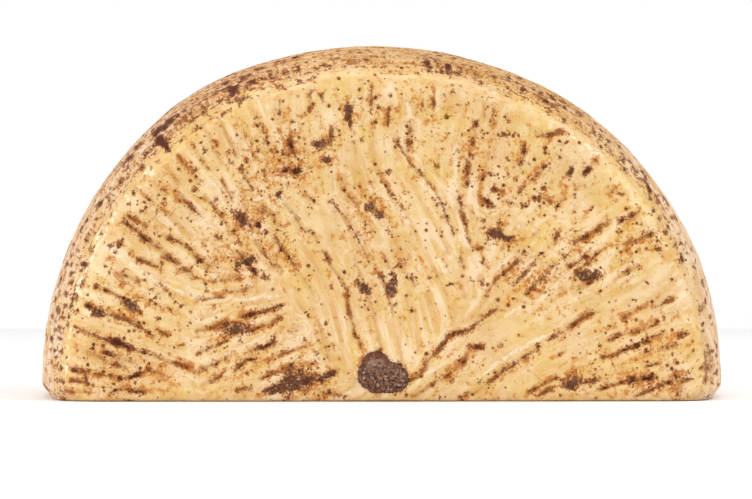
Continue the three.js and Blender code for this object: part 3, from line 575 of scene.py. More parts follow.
brush = {
    "spacing": 0.4,         # mm between two dabs of a stroke
    "reach": 4.5,           # mm worked on around a dab
    "grains": 1.9,          # mm between two swellings of a stroke
    "breaks": 8,            # and between two thin places
    "swell": (0.5, 1.1, 0.5),       # share of the width: always, by the grains, by the breaks
    "strength": (0.2, 1.1),         # the faintest and the strongest part
    "tone": (0.7, 0.7),     # always, and more by the grains
    "soak": (1.1, 1.3),     # mm that a stroke's stain reaches out, and more per mm of width
    "spotReach": 2.5,
    "spotSoak": (0.5, 0.9),
    "spotStain": 0.8,
    "spotRagged": 0.5,
    "spotGrain": (0.25, 0.3),
    "lumpReach": 4,
    "lumpSoak": 1.9,        # in half widths, as are the next two
    "lumpEdge": 1.45,
    "lumpFoot": 1.5,
    "lumpStain": 0.95,
    "lumpRagged": (0.6, 2.2),       # how much, and over how many mm
    "crestReach": 3.0,
    "crestWidth": 1.0,
    "crestFade": 2.5,       # mm at both ends
    "haze": (0.22, 24, 0.35),       # stain between the zones: how strong, its size, how widespread
    "mostStain": 1.2,
    "streakSize": 1.5,
    "streakSteps": 6,       # each way along the rushes
    "streakStep": 0.9,      # mm
    "streakStrength": 2.2,
}


def grown(form, size):      # form: a value, and how much more per unit of size
    return form[0] + form[1] * size


def resample(points):
    points = np.array(points, float)
    lengths = np.hypot(*np.diff(points, axis=0).T)
    reach = np.concatenate([[0], np.cumsum(lengths)])
    at = np.linspace(0, reach[-1], max(2, int(reach[-1] / brush["spacing"]) + 1))
    return np.column_stack([np.interp(at, reach, points[:, 0]), np.interp(at, reach, points[:, 1])]), at


def makeGrid(left, bottom, width, height, step):
    u, v = np.meshgrid(
        left + step * np.arange(int(width / step) + 1),
        bottom + step * np.arange(int(height / step) + 1),
        indexing="ij",
    )
    grid = {name: np.zeros(u.shape) for name in ("stain", "tone", "lump", "lumpHeight", "depth", "crest")}
    grid.update(left=left, bottom=bottom, step=step, u=u, v=v, ink=np.full(u.shape, noInk))
    return grid


def cellOf(value, start, step, count):
    place = np.clip((np.asarray(value) - start) / step, 0, count - 1.001)
    return place.astype(int), place - place.astype(int)


def readGrid(grid, name, u, v):
    values = grid[name]
    i, fu = cellOf(u, grid["left"], grid["step"], values.shape[0])
    j, fv = cellOf(v, grid["bottom"], grid["step"], values.shape[1])
    return blend(values, (i, i + 1), (j, j + 1), fu, fv)


def cellsNear(grid, u, v, reach):       # with the mm that each lies beside and above the point
    cells = int(2 * reach / grid["step"]) + 2
    left = int((u - reach - grid["left"]) / grid["step"])
    bottom = int((v - reach - grid["bottom"]) / grid["step"])
    window = slice(max(0, left), max(0, left + cells)), slice(max(0, bottom), max(0, bottom + cells))
    return window, grid["u"][window] - u, grid["v"][window] - v


def raiseTo(grid, name, window, values):
    grid[name][window] = np.maximum(grid[name][window], values)


def setWhere(grid, window, chosen, **values):
    for name, value in values.items():
        grid[name][window] = np.where(chosen, value, grid[name][window])


def seedAt(u, v):
    return int(10 * u + v) % 9973


def drawStroke(grid, path, along, width, darkness, seed, stretch=1.0):     # swells, thins and breaks up
    grains = lineNoise(along, brush["grains"], seed)
    breaks = lineNoise(along, brush["breaks"], seed + 1)
    always, byGrains, byBreaks = brush["swell"]
    for k, (u, v) in enumerate(path):
        window, across, up = cellsNear(grid, u, v, brush["reach"] * stretch)
        away = np.hypot(across, up / stretch)
        swell = always + byGrains * grains[k] + byBreaks * breaks[k]
        ink = 0.5 * width * swell - away
        tone = darkness * np.clip(grown(brush["tone"], grains[k]), *brush["strength"])
        setWhere(grid, window, ink > grid["ink"][window], ink=ink, tone=tone)
        strength = np.clip(0.5 + 0.5 * swell, *brush["strength"])
        raiseTo(grid, "stain", window, strength * unit(1 - away / grown(brush["soak"], width)))


def drawSpot(grid, u, v, size, darkness, stretch=1.0):
    window, across, up = cellsNear(grid, u, v, brush["spotReach"] + stretch * size)
    up = up / stretch
    ragged = 1 + brush["spotRagged"] * softNoise(across, up, grown(brush["spotGrain"], size), seedAt(u, v))
    away = np.hypot(across, up) * ragged
    ink = 0.5 * size - away
    setWhere(grid, window, ink > grid["ink"][window], ink=ink, tone=darkness)
    raiseTo(grid, "stain", window, brush["spotStain"] * unit(1 - away / grown(brush["spotSoak"], size)))


def drawLump(grid, u, v, halfLength, halfWidth, slope, rise):
    window, across, up = cellsNear(grid, u, v, halfLength + brush["lumpReach"])
    turn = math.radians(slope)
    alongIt = (across * math.cos(turn) + up * math.sin(turn)) / halfLength
    beside = (up * math.cos(turn) - across * math.sin(turn)) / halfWidth
    share, over = brush["lumpRagged"]
    ragged = 1 + share * ruggedNoise(grid["u"][window], grid["v"][window], over, seedAt(u, v))
    away = np.hypot(alongIt, beside) * ragged
    raiseTo(grid, "lump", window, unit(brush["lumpEdge"] - away))
    raiseTo(grid, "lumpHeight", window, rise * smoothStep(brush["lumpFoot"] - 1.2 * away))
    raiseTo(grid, "stain", window, brush["lumpStain"] * unit(brush["lumpSoak"] - away))


def drawCrest(grid, mark):      # fades out towards both ends
    path, along = resample(markLine(mark, 1))
    fade = np.clip(np.minimum(along, along[-1] - along) / brush["crestFade"], 0.2, 1)
    for k, (u, v) in enumerate(path):
        window, across, up = cellsNear(grid, u, v, brush["crestReach"])
        raiseTo(grid, "crest", window, mark[0] * fade[k] * hump(np.hypot(across, up), brush["crestWidth"]))


def drawZones(grid, zones, seed):
    stained = np.zeros(grid["u"].shape)
    for x, y, radius, strength in zones:
        centreX, centreZ = onFace(x, y)
        away = np.hypot(grid["u"] - centreX, grid["v"] - centreZ)
        stained = np.maximum(stained, strength * hump(away, radius))
    share, size, spread = brush["haze"]
    stained = stained + share * unit(ruggedNoise(grid["u"], grid["v"], size, seed) + spread)
    grid["zones"] = np.clip(stained, 0, brush["mostStain"])


def drawStreaks(grid, bundles, seed):       # noise drawn out along the rushes
    wide, high = grid["u"].shape
    slopes = slopeAt(grid["u"][::2, ::2], grid["v"][::2, ::2], bundles)
    slopes = np.repeat(np.repeat(slopes, 2, 0), 2, 1)[:wide, :high]
    streak = np.zeros((wide, high))
    for way in (1, -1):
        u = grid["u"].copy()
        v = grid["v"].copy()
        for step in range(brush["streakSteps"]):
            streak += softNoise(u, v, brush["streakSize"], seed) / (2 * brush["streakSteps"] - 1)
            i = cellOf(u, grid["left"], grid["step"], wide)[0]
            j = cellOf(v, grid["bottom"], grid["step"], high)[0]
            u += way * brush["streakStep"] * np.cos(slopes[i, j])
            v += way * brush["streakStep"] * np.sin(slopes[i, j])
    grid["streak"] = brush["streakStrength"] * streak


def layGroove(grid, rng, points, depth, barHeight, stained=False):
    path, along = resample(points)
    strays, over = weave["wobble"]
    wobble = strays * lineNoise(along, over, newSeed(rng))
    normal = np.gradient(path, axis=0)[:, ::-1] * (1, -1)
    path = path + normal / np.maximum(np.hypot(*normal.T), 1e-6)[:, None] * wobble[:, None]
    breaks = lineNoise(along, over, newSeed(rng))
    presence = 1 + 0 * breaks if stained else smoothStep((breaks + weave["fadesBelow"]) / weave["fadesOver"])
    for (x, z), share in zip(path, presence):
        window, across, up = cellsNear(grid, x, z, weave["groovesReach"])
        away = np.hypot(across, up)
        closer = away < grid["nearest"][window]
        height = barHeight * grown(weave["faintBar"], share)
        setWhere(grid, window, closer, nearest=away, depth=depth * share, height=height)
    return path, along


def faceMaps(lines, marks, pitch, seed):
    rng = np.random.default_rng(seed)
    grid = makeGrid(**faceMap)
    grid["pitch"] = pitch
    grid["nearest"] = np.full(grid["u"].shape, weave["groovesReach"])       # mm to the nearest groove
    grid["height"] = np.full(grid["u"].shape, weave["plainBar"])            # of the bar beside it
    drawZones(grid, marks["zones"], seed + 3)
    for mark in marks["grooves"]:
        width, darkness = mark[:2]
        depth = grown(weave["stainedDepth"], width)
        path, along = layGroove(grid, rng, markLine(mark), depth, weave["stainedBar"], True)
        drawStroke(grid, path, along, width, darkness, newSeed(rng))
    for line in lines:
        if len(line) < 3:
            continue
        depth = rng.uniform(*weave["grooveDepth"])
        path, along = layGroove(grid, rng, line, depth, rng.uniform(*weave["barHeight"]))
        zoneAlong = readGrid(grid, "zones", path[:, 0], path[:, 1])
        inZone = zoneAlong > weave["inZoneFrom"]
        if inZone.sum() > 3:
            strength = float(zoneAlong[inZone].mean())
            width, darkness = [share * strength for share in weave["inZoneStroke"]]
            drawStroke(grid, path[inZone], along[inZone], width, darkness, newSeed(rng))
    for x, y, size, darkness in marks["spots"]:
        drawSpot(grid, *onFace(x, y), size, darkness)
    for x, y, *form in marks["lumps"]:
        drawLump(grid, *onFace(x, y), *form)
    for mark in marks["crests"]:
        drawCrest(grid, mark)
    drawStreaks(grid, marks["bundles"], seed + 9)
    return grid


frontMarks = {
    "grooves": stainedGrooves, "spots": darkSpots, "lumps": truffleLumps, "zones": stainZones,
    "crests": crestsAndHighlights, "bundles": rushBundles,
}

invented = {
    "seed": 77,
    "x": (-92, 92),
    "z": (5, 98),
    "inset": 18,            # mm kept from the outline
    "grooves": 70,
    "grooveWidth": (0.9, 1.5),
    "grooveDarkness": (0.35, 0.9),
    "grooveSteps": (3, 7),
    "grooveStep": 3.6,      # mm
    "spots": 110,
    "spotSize": (0.9, 1.9),
    "spotDarkness": (0.6, 1.0),
    "lumps": 11,
    "lumpLength": (1.4, 3.4),
    "lumpShare": (0.5, 0.9),        # width to length
    "lumpSlope": (-60, 60),
    "lumpRise": 0.35,
    "zones": 20,
    "zoneRadius": (9, 17),
    "zoneStrength": (0.4, 0.9),
    "crests": 30,
    "crestHeight": (0.4, 0.7),
    "crestLength": 9,
}


# The back isn't in the photo: it gets marks of its own in the same manner, laid at random.
def inventMarks(bundles):
    rng = np.random.default_rng(invented["seed"])
    marks = {"grooves": [], "spots": [], "lumps": [], "zones": [], "crests": [], "bundles": bundles}

    def some(name):
        return rng.uniform(*invented[name])

    def pick():
        while True:
            x, z = some("x"), some("z")
            if insetAt(x, z) > invented["inset"]:
                return x, z

    for k in range(invented["grooves"]):
        x, z = pick()
        mark = [some("grooveWidth"), some("grooveDarkness")]
        for step in range(int(rng.integers(*invented["grooveSteps"]))):
            mark += toPhoto(x, z)
            slope = float(slopeAt(x, z, bundles))
            x += invented["grooveStep"] * math.cos(slope)
            z += invented["grooveStep"] * math.sin(slope)
        marks["grooves"].append(mark)
    for k in range(invented["spots"]):
        marks["spots"].append((*toPhoto(*pick()), some("spotSize"), some("spotDarkness")))
    for k in range(invented["lumps"]):
        size = some("lumpLength")
        place = toPhoto(*pick())
        width = size * some("lumpShare")
        marks["lumps"].append((*place, size, width, some("lumpSlope"), invented["lumpRise"]))
    for k in range(invented["zones"]):
        marks["zones"].append((*toPhoto(*pick()), some("zoneRadius"), some("zoneStrength")))
    for k in range(invented["crests"]):
        x, z = pick()
        slope = float(slopeAt(x, z, bundles))
        length = invented["crestLength"]
        end = toPhoto(x + length * math.cos(slope), z + length * math.sin(slope))
        marks["crests"].append((some("crestHeight"), *toPhoto(x, z), *end))
    return marks


backMarks = inventMarks(backBundles)
frontLines = layLines(weave["pitch"], rushBundles, [markLine(mark) for mark in stainedGrooves])
backLines = layLines(weave["backPitch"], backBundles, [markLine(mark) for mark in backMarks["grooves"]])
print("grooves laid:", len(frontLines), "in front,", len(backLines), "behind")
front = faceMaps(frontLines, frontMarks, weave["pitch"], 7)
back = faceMaps(backLines, backMarks, weave["backPitch"], 23)
print("face maps drawn")

rim = {
    "rowPitch": 5.6,        # the basket's rushes run round the rim in rows
    "rowWarp": (1.4, 26),   # how far the rows stray, over how many mm
    "barLength": 13.0,
    "barWarp": (2.5, 15),
    "height": 0.5,
    "barRoundness": (0.7, 0.6),     # exponents, along a row and along a bar
    "barEnds": (0.55, 0.45),        # share of the height at a bar's ends, and more at its middle
    "barLevel": 0.75,
    "weak": (0.55, 0.45, 30),       # share of the relief where it is weak, and more elsewhere; mm
    "seam": 1.7,
    "unevenness": (0.28, 9),
    "starts": 9.0,          # mm from the face's edge over which its look takes over
    "full": 12.0,
    "ridgeHeight": 0.4,
    "ridgeWidth": 1.5,
    "knobSize": 6,
    "mostRidge": 1.3,
    "ridgeShare": [(0, 0.4), (55, 0.35), (75, 0.1), (110, 0.1), (125, 0.8), (168, 0.9), (180, 0.5)],
    "crackBeyond": 2.6,     # mm from the ridge to the crack
    "crackStray": (0.7, 17),
    "crackBreaks": (1.1, 11),
    "crackOftenness": 0.6,
    "crackWidth": 0.6,
    "crackDepth": 0.5,
    "crackShare": [(0, 0.0), (50, 0.1), (62, 0.8), (80, 0.6), (100, 0.8), (132, 0.7), (145, 0.1), (180, 0.0)],
    "dirt": [       # angle, strength of the mottling
        (0, 0.1), (25, 0.2), (38, 0.4), (60, 0.65), (76, 0.7), (92, 0.7), (106, 0.75), (116, 0.9), (128, 0.9),
        (138, 0.65), (150, 0.5), (165, 0.5), (180, 0.45),
    ],
    "openFrom": 14.0,       # beyond this the weave's marks are drawn out across the rim
    "openBy": 0.22,
    "stain": 0.6,
    "shownAngles": 901,     # steps in which the visible rim is searched for a place in the photo
    "shownRows": 151,
    "shownTo": 60.0,
    "leastGrowth": 0.25,    # px per mm: less is too foreshortened to place marks
    "mostSqueeze": 4.5,
    "lineStretch": 3.0,
    "seed": 61,
    "spots": 700,           # invented where the photo doesn't show the rim
    "spare": (0.04, 0.06, 6),       # radians free of them at the ends of the cut, mm at the back face
    "spotSize": (0.9, 2.4),
    "spotDarkness": (0.5, 1.0),
    "spotStretch": (1.0, 3.0),
    "lines": 220,
    "lineLength": (3, 11),
    "lineRise": (-1, 1),
    "lineWidth": (0.7, 1.1),
    "lineDarkness": (0.5, 0.95),
}
rimMap = {
    "left": -2.0, "bottom": -2.0, "width": math.pi * wheel["radius"] + 4, "height": 2 * halfSection + 4,
    "step": 0.4,
}
rimGrid = makeGrid(**rimMap)


def valueAt(table, angle):
    return np.interp(np.degrees(angle), [entry[0] for entry in table], [entry[1] for entry in table])


def rimPlaces():        # where every spot of the visible rim shows, to place marks read from the photo
    angles = np.linspace(0, math.pi, rim["shownAngles"])
    angle, across = np.meshgrid(angles, np.linspace(0, rim["shownTo"], rim["shownRows"]), indexing="ij")
    y, inset = section(across)
    radius = outlineRadius(angle) - inset
    x, y = toFrame(radius * np.cos(angle), y, radius * np.sin(angle))
    reach = np.hypot(x - photo["axisX"], y - photo["cutY"])
    grows = np.gradient(reach, axis=1) / (across[0, 1] - across[0, 0])      # px per mm
    return {
        "around": angle * wheel["radius"], "across": across, "x": x, "y": y, "grows": grows,
        "hidden": across[0, np.argmax(reach, axis=1)],
    }


rimShown = rimPlaces()


def onRim(x, y):        # distance round the rim and across it, and how much the view squeezes it there
    miss = np.hypot(rimShown["x"] - x, rimShown["y"] - y)
    miss = miss + np.where(rimShown["grows"] > rim["leastGrowth"], 0, 1e3)
    k = np.unravel_index(np.argmin(miss), miss.shape)
    squeeze = np.clip(photo["pxPerMm"] / rimShown["grows"][k], 1, rim["mostSqueeze"])
    return rimShown["around"][k], rimShown["across"][k], float(squeeze)


ridgePath = np.array([onRim(x, y)[:2] for x, y in ridgeSpots])


def drawRim():
    rng = np.random.default_rng(rim["seed"])
    for x, y, size, darkness in rimSpots:
        around, across, squeeze = onRim(x, y)
        drawSpot(rimGrid, around, across, size, darkness, squeeze)
    for mark in rimLines:
        spots = [onRim(x, y) for x, y in pairs(mark)]
        path, along = resample([spot[:2] for spot in spots])
        drawStroke(rimGrid, path, along, mark[0], mark[1], newSeed(rng), min(rim["lineStretch"], spots[0][2]))

    def some(name):
        return rng.uniform(*rim[name])

    def pick():     # a place beyond what the photo shows
        right, left, behind = rim["spare"]
        angle = rng.uniform(right, math.pi - left)
        column = int((rim["shownAngles"] - 1) * angle / math.pi)
        return wheel["radius"] * angle, rng.uniform(rimShown["hidden"][column], 2 * halfSection - behind)

    for k in range(rim["spots"]):
        drawSpot(rimGrid, *pick(), some("spotSize"), some("spotDarkness"), some("spotStretch"))
    for k in range(rim["lines"]):
        around, across = pick()
        path, along = resample([(around, across), (around + some("lineLength"), across + some("lineRise"))])
        drawStroke(rimGrid, path, along, some("lineWidth"), some("lineDarkness"), newSeed(rng))


drawRim()
print("rim map drawn, the ridge lies", ridgePath[:, 1].min().round(1), "to", ridgePath[:, 1].max().round(1),
      "mm from the face's edge")


# relief, measured outwards from the plain wheel

faceForm = {
    "barLevel": 0.7,        # share of a bar's height that lies below the plain face
    "streak": 0.16,
    "unevenness": [(0.5, 13, 5), (0.3, 6, 15)],     # height, size, seed
    "crest": 0.6,
}


def faceRelief(x, z, maps):
    away = readGrid(maps, "nearest", x, z)
    bar = 1 - (1 - unit(away / (0.5 * maps["pitch"]))) ** 2
    relief = readGrid(maps, "height", x, z) * (bar - faceForm["barLevel"])
    relief = relief - readGrid(maps, "depth", x, z) * hump(away, weave["grooveWidth"])
    relief = relief + faceForm["streak"] * readGrid(maps, "streak", x, z)
    for height, size, seed in faceForm["unevenness"]:
        relief = relief + height * ruggedNoise(x, z, size, seed)
    return relief + readGrid(maps, "lumpHeight", x, z) + faceForm["crest"] * readGrid(maps, "crest", x, z)


def stray(u, v, form, number):      # form: how far, over how many mm
    return form[0] * softNoise(u, v, form[1], rim["seed"] + number)


def rimRelief(around, y):
    row = (y + stray(around, y, rim["rowWarp"], 0)) / rim["rowPitch"]
    bar = (around + stray(around, y, rim["barWarp"], 1)) / rim["barLength"] + 0.5 * (np.floor(row) % 2)
    rowPower, barPower = rim["barRoundness"]
    pillow = grown(rim["barEnds"], np.abs(np.sin(math.pi * bar)) ** barPower)
    pillow = np.abs(np.sin(math.pi * row)) ** rowPower * pillow
    strength = grown(rim["weak"], smoothStep(0.5 + softNoise(around, y, rim["weak"][2], rim["seed"] + 2)))
    height, size = rim["unevenness"]
    uneven = height * ruggedNoise(around, y, size, rim["seed"] + 3)
    # the second value marks the seams between the rim's bars, which the rind paints darker as painted shade
    return rim["height"] * strength * (pillow - rim["barLevel"]) + uneven, unit(1 - rim["seam"] * pillow)


def crackAt(across, angle):     # the broken crack where the face meets the rim
    around = wheel["radius"] * angle
    path = np.interp(around, *ridgePath.T) + rim["crackBeyond"]
    path = path + stray(around, 0 * around, rim["crackStray"], 4)
    presence = smoothStep(rim["crackOftenness"] + stray(around, 0 * around, rim["crackBreaks"], 5))
    return valueAt(rim["crackShare"], angle) * presence * hump(across - path, rim["crackWidth"])


def ridgeAt(across, angle):     # broken into soft knobs, which catch the light
    around = wheel["radius"] * angle
    knobs = valueAt(rim["ridgeShare"], angle) + lineNoise(around, rim["knobSize"], rim["seed"] + 7)
    knobs = np.clip(knobs, 0, rim["mostRidge"])
    return rim["ridgeHeight"] * knobs * hump(across - np.interp(around, *ridgePath.T), rim["ridgeWidth"])


# the half wheel's mesh

mesh = {
    "half": 144,            # cells from the middle of the cut to its end
    "shoulderRows": 26,
    "frontRimRows": 22,
    "fineTo": -14.0,        # the fine rows end at this y
    "backRimRows": 24,
    "backShoulderRows": 8,
}
cut = {
    "edgeRound": 0.8,       # radius of the rubbed edge along the cut
    "archRound": 0.3,       # and how much more under the plug
    "archLift": 0.12,
    "archWidth": 8.0,
    "archRoundWidth": 9.0,
    "archStart": (58.5, 5),         # mm from the wheel's middle plane, and over which it rises
    "lift": 0.06,
    "liftSize": 14,
    "liftSeed": 88,
    "fadesOver": 9.0,       # mm above the cut over which the lift fades
    "edgeFrom": 50,         # the edge is rubbed from here on towards the faces
    "edgeOver": 10,
    "spacing": 2.0,         # mm between the points inside the outline
    "scatter": 0.3,
    "margin": 1.1,          # none closer to the outline than this
    "halfLength": 107.0,
    "halfWidth": 61.5,
    "seed": 12,
}
faceLook = {
    "margin": (10.5, 4.5),  # mm from the outline and over which the smooth pale margin gives way to the weave
    "marginPale": 0.62,
    "plainHeight": 0.6,     # of a bar whose top gets the full painted highlight
    "grooveReach": 1.1,
    "grooveDepth": 0.6,     # mm at which a groove's painted shade is darkest
    "baseHeight": 3.5,      # the lowest part is a little darker
    "plugStain": (0.9, 2.4),        # how much the plug stains the face, and how far round it
    "plugInk": (0.25, 0.6),         # mm that its ink reaches, and the most of it
    "plugTone": (0.8, 0.6),         # how far it is darkened, and how much
}
channels = [
    "groove", "away", "stain", "ink", "tone", "speck", "lump", "streak", "crest", "rim", "around", "across",
    "crack", "pale", "rindDepth", "base",
]


def packPoints(x, y, z, **given):
    block = {"x": x.ravel(), "y": y.ravel(), "z": z.ravel()}
    for name in channels:
        block[name] = np.broadcast_to(given.get(name, 0.0), x.shape).ravel()
    return block


def joinBlocks(*blocks):
    return {name: np.concatenate([block[name] for block in blocks]) for name in blocks[0]}


def lookOfFace(x, z, maps, share=1.0):
    drawn = ("nearest", "height", "depth", "streak", "stain", "ink", "tone", "zones", "lump", "crest")
    there = {name: readGrid(maps, name, x, z) for name in drawn}
    away = there["nearest"]
    woven = ramp(insetAt(x, z), faceLook["margin"])
    # bar tops, away from the grooves, are painted paler as a painted highlight; the smooth margin by the
    # outline is paler in its own colour
    litBarTop = unit(away / (0.5 * maps["pitch"])) * there["height"] / faceLook["plainHeight"]
    look = {
        "away": away,
        "streak": woven * there["streak"],
        # how deep a groove lies here, which the rind paints darker as painted shade
        "groove": share * there["depth"] / faceLook["grooveDepth"] * unit(1 - away / faceLook["grooveReach"]),
        "stain": share * there["stain"],
        "ink": noInk + unit(3 * share) * (there["ink"] - noInk),
        "tone": there["tone"],
        "speck": share * there["zones"],
        "lump": share * there["lump"],
        "crest": share * there["crest"],
        "pale": share * (faceLook["marginPale"] + woven * (litBarTop - faceLook["marginPale"])),
        "base": share * unit(1 - z / faceLook["baseHeight"]),
    }
    if maps is front:
        beside = besidePlug(x, z)
        strength, over = faceLook["plugStain"]
        look["stain"] = np.maximum(look["stain"], strength * unit(1 - beside / over))
        reach, most = faceLook["plugInk"]
        look["ink"] = np.maximum(look["ink"], np.clip(reach - beside, noInk, most))
        reach, tone = faceLook["plugTone"]
        look["tone"] = np.where(beside < reach, tone, look["tone"])
    return look


def facePoints(n, side, maps):
    p, q = np.meshgrid(np.arange(-n, n + 1) / n, np.arange(n + 1) / n, indexing="ij")
    fraction, angle = halfDisc(p, q)
    radius = fraction * (outlineRadius(angle) - faceInset)
    x = radius * np.cos(angle)
    z = radius * np.sin(angle)
    out = faceHeight(fraction, angle) + faceRelief(x, z, maps)
    if maps is front:
        pocket = plug["depth"] + plug["gap"] + plug["behind"]
        out = out - pocket * ramp(-besidePlug(x, z), plug["pocketWall"])
    return packPoints(x, side * (faceY + out), z, around=wheel["radius"] * angle, **lookOfFace(x, z, maps))


def ringPoints(columns, turns, ys, insets, maps):       # turn 0 looks along the axis, a quarter turn outwards
    n = columns // 4
    k = np.arange(columns + 1)
    p = np.where(k <= n, 1.0, np.where(k >= 3 * n, -1.0, 2 - k / n))
    q = np.where(k <= n, k / n, np.where(k >= 3 * n, (4 * n - k) / n, 1.0))
    angle, turn, y, inset = np.broadcast_arrays(halfDisc(p, q)[1][:, None], turns, ys, insets)
    around = wheel["radius"] * angle
    across = acrossRim(y)
    radius = outlineRadius(angle) - inset + rimSwell(y, angle)
    x = radius * np.cos(angle)
    z = radius * np.sin(angle)
    rimShare = smoothStep((across - rim["starts"]) / (rim["full"] - rim["starts"]))
    rows, grooves = rimRelief(around, y)
    crack = crackAt(across, angle)
    relief = (1 - rimShare) * faceRelief(x, z, maps) + rimShare * rows
    relief = relief - rim["crackDepth"] * crack + ridgeAt(across, angle)
    x = x + relief * np.sin(turn) * np.cos(angle)
    z = z + relief * np.sin(turn) * np.sin(angle)

    look = lookOfFace(x, z, maps, 1 - rimShare)
    fromFront = np.where(y < 0, across, 2 * halfSection - across)
    onTheRim = {name: readGrid(rimGrid, name, around, fromFront) for name in ("ink", "tone", "stain")}
    look["tone"] = np.where(onTheRim["ink"] > look["ink"], onTheRim["tone"], look["tone"])
    look["ink"] = np.maximum(look["ink"], onTheRim["ink"])
    look["stain"] = np.maximum(look["stain"], rim["stain"] * onTheRim["stain"])
    # the rim's seams add to the grooves' painted shade
    look["groove"] = look["groove"] + rimShare * grooves
    look["speck"] = np.maximum(look["speck"], rimShare * valueAt(rim["dirt"], angle))
    opened = np.minimum(across, rim["openFrom"]) + rim["openBy"] * np.maximum(across - rim["openFrom"], 0)
    y = y + np.sign(y) * relief * np.cos(turn)
    return packPoints(x, y, np.maximum(z, 0), rim=rimShare, around=around, across=opened, crack=crack, **look)


def shoulder(rows, side):       # turn, y and inset of its rows
    turn = shoulderTurn * np.arange(1, rows + 1) / rows
    inset = faceInset - wheel["shoulderRadius"] * np.sin(turn)
    y = faceY - wheel["shoulderRadius"] * (1 - np.cos(turn))
    return (turn, -y, inset) if side < 0 else (turn[:0:-1], y[:0:-1], inset[:0:-1])


def barrel(ys):
    turn = np.arcsin(ys / barrelRadius)
    return math.pi / 2 - np.abs(turn), ys, barrelRadius * (1 - np.cos(turn))


def gridFaces(start, columns, rows):    # rows run fastest
    i, j = np.meshgrid(np.arange(columns), np.arange(rows), indexing="ij")
    a = (start + i * (rows + 1) + j).ravel()
    return np.column_stack([a, a + rows + 1, a + rows + 2, a + 1])


def stripFaces(first, second):      # quads between two rows of the same length
    return np.column_stack([first[:-1], first[1:], second[1:], second[:-1]])


def boundaryOf(start, n):       # the edge of a face's grid, from the right end of the cut over the top
    right = [start + 2 * n * (n + 1) + j for j in range(n + 1)]
    top = [start + i * (n + 1) + n for i in range(2 * n - 1, -1, -1)]
    left = [start + j for j in range(n - 1, -1, -1)]
    return np.array(right + top + left)


# the front face and the fine rows beside it have twice the columns of the coarse rows and the back face
half = mesh["half"]
fineColumns = 4 * half
coarseColumns = 2 * half
fineYs = np.linspace(-barrelEnd, mesh["fineTo"], mesh["frontRimRows"] + 1)[1:]
coarseYs = np.linspace(mesh["fineTo"], barrelEnd, mesh["backRimRows"] + 1)[1:-1]
fineParts = shoulder(mesh["shoulderRows"], -1), barrel(fineYs)
coarseParts = barrel(coarseYs), shoulder(mesh["backShoulderRows"], 1)
fineRow = [np.concatenate(part) for part in zip(*fineParts)]
coarseRow = [np.concatenate(part) for part in zip(*coarseParts)]
fineRows = len(fineRow[0])
coarseRows = len(coarseRow[0])
blocks = [
    facePoints(half, -1, front), ringPoints(fineColumns, *fineRow, front),
    ringPoints(coarseColumns, *coarseRow, back), facePoints(half // 2, 1, back),
]
starts = np.cumsum([0] + [block["x"].size for block in blocks])
points = joinBlocks(*blocks)
fineIndex = starts[1] + np.arange((fineColumns + 1) * fineRows).reshape(-1, fineRows)
coarseIndex = starts[2] + np.arange((coarseColumns + 1) * coarseRows).reshape(-1, coarseRows)

areas = [       # name of the area, its faces
    ("front", gridFaces(starts[0], 2 * half, half)),
    ("front", stripFaces(boundaryOf(starts[0], half), fineIndex[:, 0])),
]
for row in range(fineRows - 1):
    area = "front" if row < mesh["shoulderRows"] - 1 else "rim"
    areas.append((area, stripFaces(fineIndex[:, row], fineIndex[:, row + 1])))
for row in range(coarseRows - 1):
    area = "rim" if row < mesh["backRimRows"] - 1 else "back"
    areas.append((area, stripFaces(coarseIndex[:, row], coarseIndex[:, row + 1])))
areas.append(("back", stripFaces(coarseIndex[:, -1], boundaryOf(starts[3], half // 2))))
areas.append(("back", gridFaces(starts[3], half, half // 2)[:, ::-1]))
stitches = []       # where two fine cells meet one coarse cell
for k in range(coarseColumns):
    a, b, c = fineIndex[2 * k:2 * k + 3, -1]
    d, e = coarseIndex[k:k + 2, 0]
    stitches += [(a, b, d), (b, e, d), (b, c, e)]
areas.append(("rim", np.array(stitches)))


# The cut: a rubbed edge, rubbed most under the plug, and the flat paste inside it.
def cutLift(x, y):
    arch = cut["archLift"] * hump(x - plug["x"], cut["archWidth"]) * ramp(-y, cut["archStart"])
    return arch + cut["lift"] * (1 + softNoise(x, y, cut["liftSize"], cut["liftSeed"]))


def rubEdge(block):     # lifts the lowest rows to the cut's own level and rounds the edge
    lift = cutLift(block["x"], block["y"])
    fade = unit(1 - block["z"] / cut["fadesOver"])
    block["z"] = np.maximum(block["z"], 0) + lift * fade
    underPlug = hump(block["x"] - plug["x"], cut["archRoundWidth"]) * (block["y"] < 0)
    radius = cut["edgeRound"] + cut["archRound"] * underPlug
    inner = unit(1 - block["z"] / radius)
    loss = radius * (1 - np.sqrt(unit(1 - inner ** 2)))
    nearFace = unit((np.abs(block["y"]) - cut["edgeFrom"]) / cut["edgeOver"])
    block["y"] = block["y"] - np.sign(block["y"]) * loss * nearFace


rubEdge(points)
cutLoop = np.concatenate([
    starts[0] + np.arange(2 * half + 1) * (half + 1),
    fineIndex[0, :], coarseIndex[0, :],
    (starts[3] + np.arange(half + 1) * (half // 2 + 1))[::-1],
    coarseIndex[-1, ::-1], fineIndex[-1, ::-1],
])
loopX, loopY = points["x"][cutLoop], points["y"][cutLoop]
rng = np.random.default_rng(cut["seed"])
innerX, innerY = np.meshgrid(
    np.arange(-cut["halfLength"], cut["halfLength"] + 1, cut["spacing"]),
    np.arange(-cut["halfWidth"], cut["halfWidth"] + 0.5, cut["spacing"]),
    indexing="ij",
)
innerX = (innerX + rng.uniform(-cut["scatter"], cut["scatter"], innerX.shape)).ravel()
innerY = (innerY + rng.uniform(-cut["scatter"], cut["scatter"], innerY.shape)).ravel()
nearEdge = np.array([np.min(np.hypot(loopX - x, loopY - y)) for x, y in zip(innerX, innerY)])
